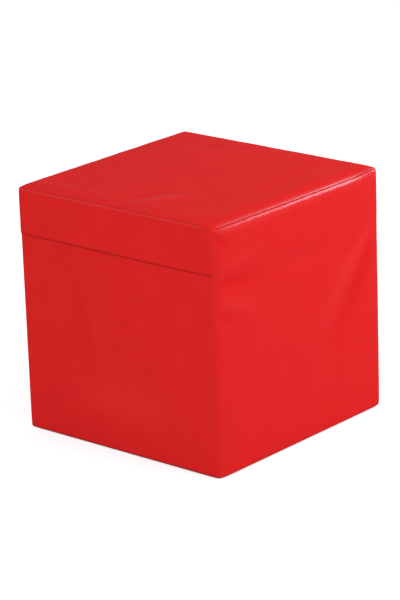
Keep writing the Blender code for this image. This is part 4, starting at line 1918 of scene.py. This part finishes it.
@dataclass(frozen=True)
class PhotoCamera:
    """The camera that matches the photograph. Distance and shifts are in heights of the outline.

    The rounding is how far the block's outline lies inside the sharp box.
    """

    sizes: BlockSizes
    azimuth: float = 41.047
    elevation: float = 18.202
    roll: float = -2.008
    distance: float = 10.989
    shift_right: float = -0.0820
    shift_up: float = 0.6846
    focal_px: float = 2881.6
    long_side_px: float = 600.0
    sensor: float = 36.0
    rounding: float = 2.6 * MM
    sees_to: float = 50.0

    def build(self) -> None:
        """Places the camera and makes it the scene's own."""
        az, el, roll = (math.radians(turn) for turn in (self.azimuth, self.elevation, self.roll))
        back = Vector((math.sin(az) * math.cos(el), -math.cos(az) * math.cos(el), math.sin(el)))
        level = Vector((math.cos(az), math.sin(az), 0))
        upright = back.cross(level)
        right = math.cos(roll) * level + math.sin(roll) * upright
        up = math.cos(roll) * upright - math.sin(roll) * level
        inset = self.rounding
        corner = Vector((self.sizes.half_length - inset, inset - self.sizes.half_width, inset))
        offset = self.distance * back + self.shift_right * right + self.shift_up * up
        data = bpy.data.cameras.new("photo_camera")
        data.sensor_width = self.sensor
        data.lens = self.focal_px * self.sensor / self.long_side_px
        data.clip_end = self.sees_to
        camera = bpy.data.objects.new("photo_camera", data)
        turn = Matrix((right, up, back)).transposed().to_4x4()
        spot = corner + (self.sizes.height - 2 * inset) * offset
        camera.matrix_world = Matrix.Translation(spot) @ turn
        bpy.context.scene.collection.objects.link(camera)
        bpy.context.scene.camera = camera


@dataclass(frozen=True)
class Softbox:
    """A square lamp that faces the block, as bright as its radiance says."""

    name: str
    toward: tuple[float, float, float]
    distance: float
    size: float
    radiance: float
    tint: Colour = (1.0, 1.0, 1.0)

    def build(self, middle: Vector) -> None:
        """Hangs the lamp.

        Args:
            middle: The point that it faces.
        """
        data = bpy.data.lights.new(self.name, "AREA")
        data.shape = "SQUARE"
        data.size = self.size
        data.energy = self.radiance * math.pi * self.size**2
        data.color = self.tint
        lamp = bpy.data.objects.new(self.name, data)
        way = Vector(self.toward).normalized()
        lamp.location = middle + way * self.distance
        lamp.rotation_euler = way.to_track_quat("Z", "Y").to_euler()
        bpy.context.scene.collection.objects.link(lamp)


@dataclass(frozen=True)
class Studio:
    """A plain pale floor, soft lamps and a white surround."""

    sizes: BlockSizes
    fill: float = 0.58
    floor_size: float = 30.0
    floor_corners: int = 64
    floor_colour: Colour = (0.74, 0.74, 0.74)
    floor_shade: float = 0.97
    floor_grain: float = 60 * MM
    floor_roughness: float = 0.95
    floor_glow: float = 0.62
    lamps: tuple[Softbox, ...] = (
        Softbox("key", (0.79, 0.12, 0.59), 3.6, 1.8, 4.05),
        Softbox("rim", (0.45, 0.74, 0.45), 3.0, 0.9, 9.0, (1.0, 1.0, 1.25)),
        Softbox("left", (0.08, -0.95, 0.25), 2.4, 1.6, 1.62),
    )

    def build(self) -> None:
        """Sets the floor, the lamps and the world."""
        middle = Vector((0, 0, self.sizes.height / 2))
        for lamp in self.lamps:
            lamp.build(middle)
        self.build_floor()
        self.build_world()
        bpy.context.scene.view_settings.view_transform = "Standard"

    def build_floor(self) -> None:
        """Lays the floor, which shows white but for the block's soft shadow."""
        bm = bmesh.new()
        size = {"segments": self.floor_corners, "radius": self.floor_size / 2}
        bmesh.ops.create_circle(bm, cap_ends=True, **size)
        mesh = bpy.data.meshes.new("floor")
        bm.to_mesh(mesh)
        bm.free()
        floor = bpy.data.objects.new("floor", mesh)
        bpy.context.scene.collection.objects.link(floor)
        recipe = Recipe("floor_paper")
        seen = self.seen(recipe)
        grain = recipe.noise(recipe.place(), self.floor_grain, 3.0)
        shade = tuple(self.floor_shade * part for part in self.floor_colour)
        colour = recipe.tint(grain, self.floor_colour, shade)
        glow = recipe.tint(seen, (0.0, 0.0, 0.0), (self.floor_glow,) * 3)
        recipe.shade(Base_Color=colour, Roughness=self.floor_roughness, Specular_IOR_Level=0.0)
        mesh.materials.append(recipe.shade(Emission_Color=glow, Emission_Strength=1.0))

    def seen(self, recipe: Recipe) -> Socket:
        """A share that is 1 for what the camera sees, itself or in metal and glass.

        Args:
            recipe: The nodes that it is worked out in.

        Returns:
            The share.
        """
        camera, glossy, through = (
            recipe.node("ShaderNodeLightPath", {}, {}, f"Is {ray} Ray")
            for ray in ("Camera", "Glossy", "Transmission")
        )
        return camera.math("MAXIMUM", glossy).math("MAXIMUM", through)

    def build_world(self) -> None:
        """Makes the surround white to look at, and a soft even light for the block."""
        world = bpy.data.worlds.new("studio")
        bpy.context.scene.world = world
        recipe = Surround(world)
        seen = self.seen(recipe)
        recipe.feed(recipe.shader, "Strength", seen * (1 - self.fill) + self.fill)
        recipe.feed(recipe.shader, "Color", (1.0, 1.0, 1.0))


class Surround(Recipe):
    """The nodes of the world, built round its Background."""

    def __init__(self, world: bpy.types.World) -> None:
        """Takes the world's own nodes.

        Args:
            world: The world.
        """
        world.use_nodes = True
        self.tree = world.node_tree
        self.shader = self.tree.nodes["Background"]


def main() -> None:
    """Builds the block's looks and the studio."""
    logging.basicConfig(level=logging.INFO, format="%(name)s: %(message)s")
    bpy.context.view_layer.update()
    sizes = BlockSizes.from_frame()
    PhotoCamera(sizes).build()
    shop = Workshop()
    for part in (Foam(sizes, shop), Cover(sizes, shop), Zip(sizes, shop), Studio(sizes)):
        part.build()
        log.info("built the %s", type(part).__name__.lower())
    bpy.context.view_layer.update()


if __name__ == "__main__":
    main()
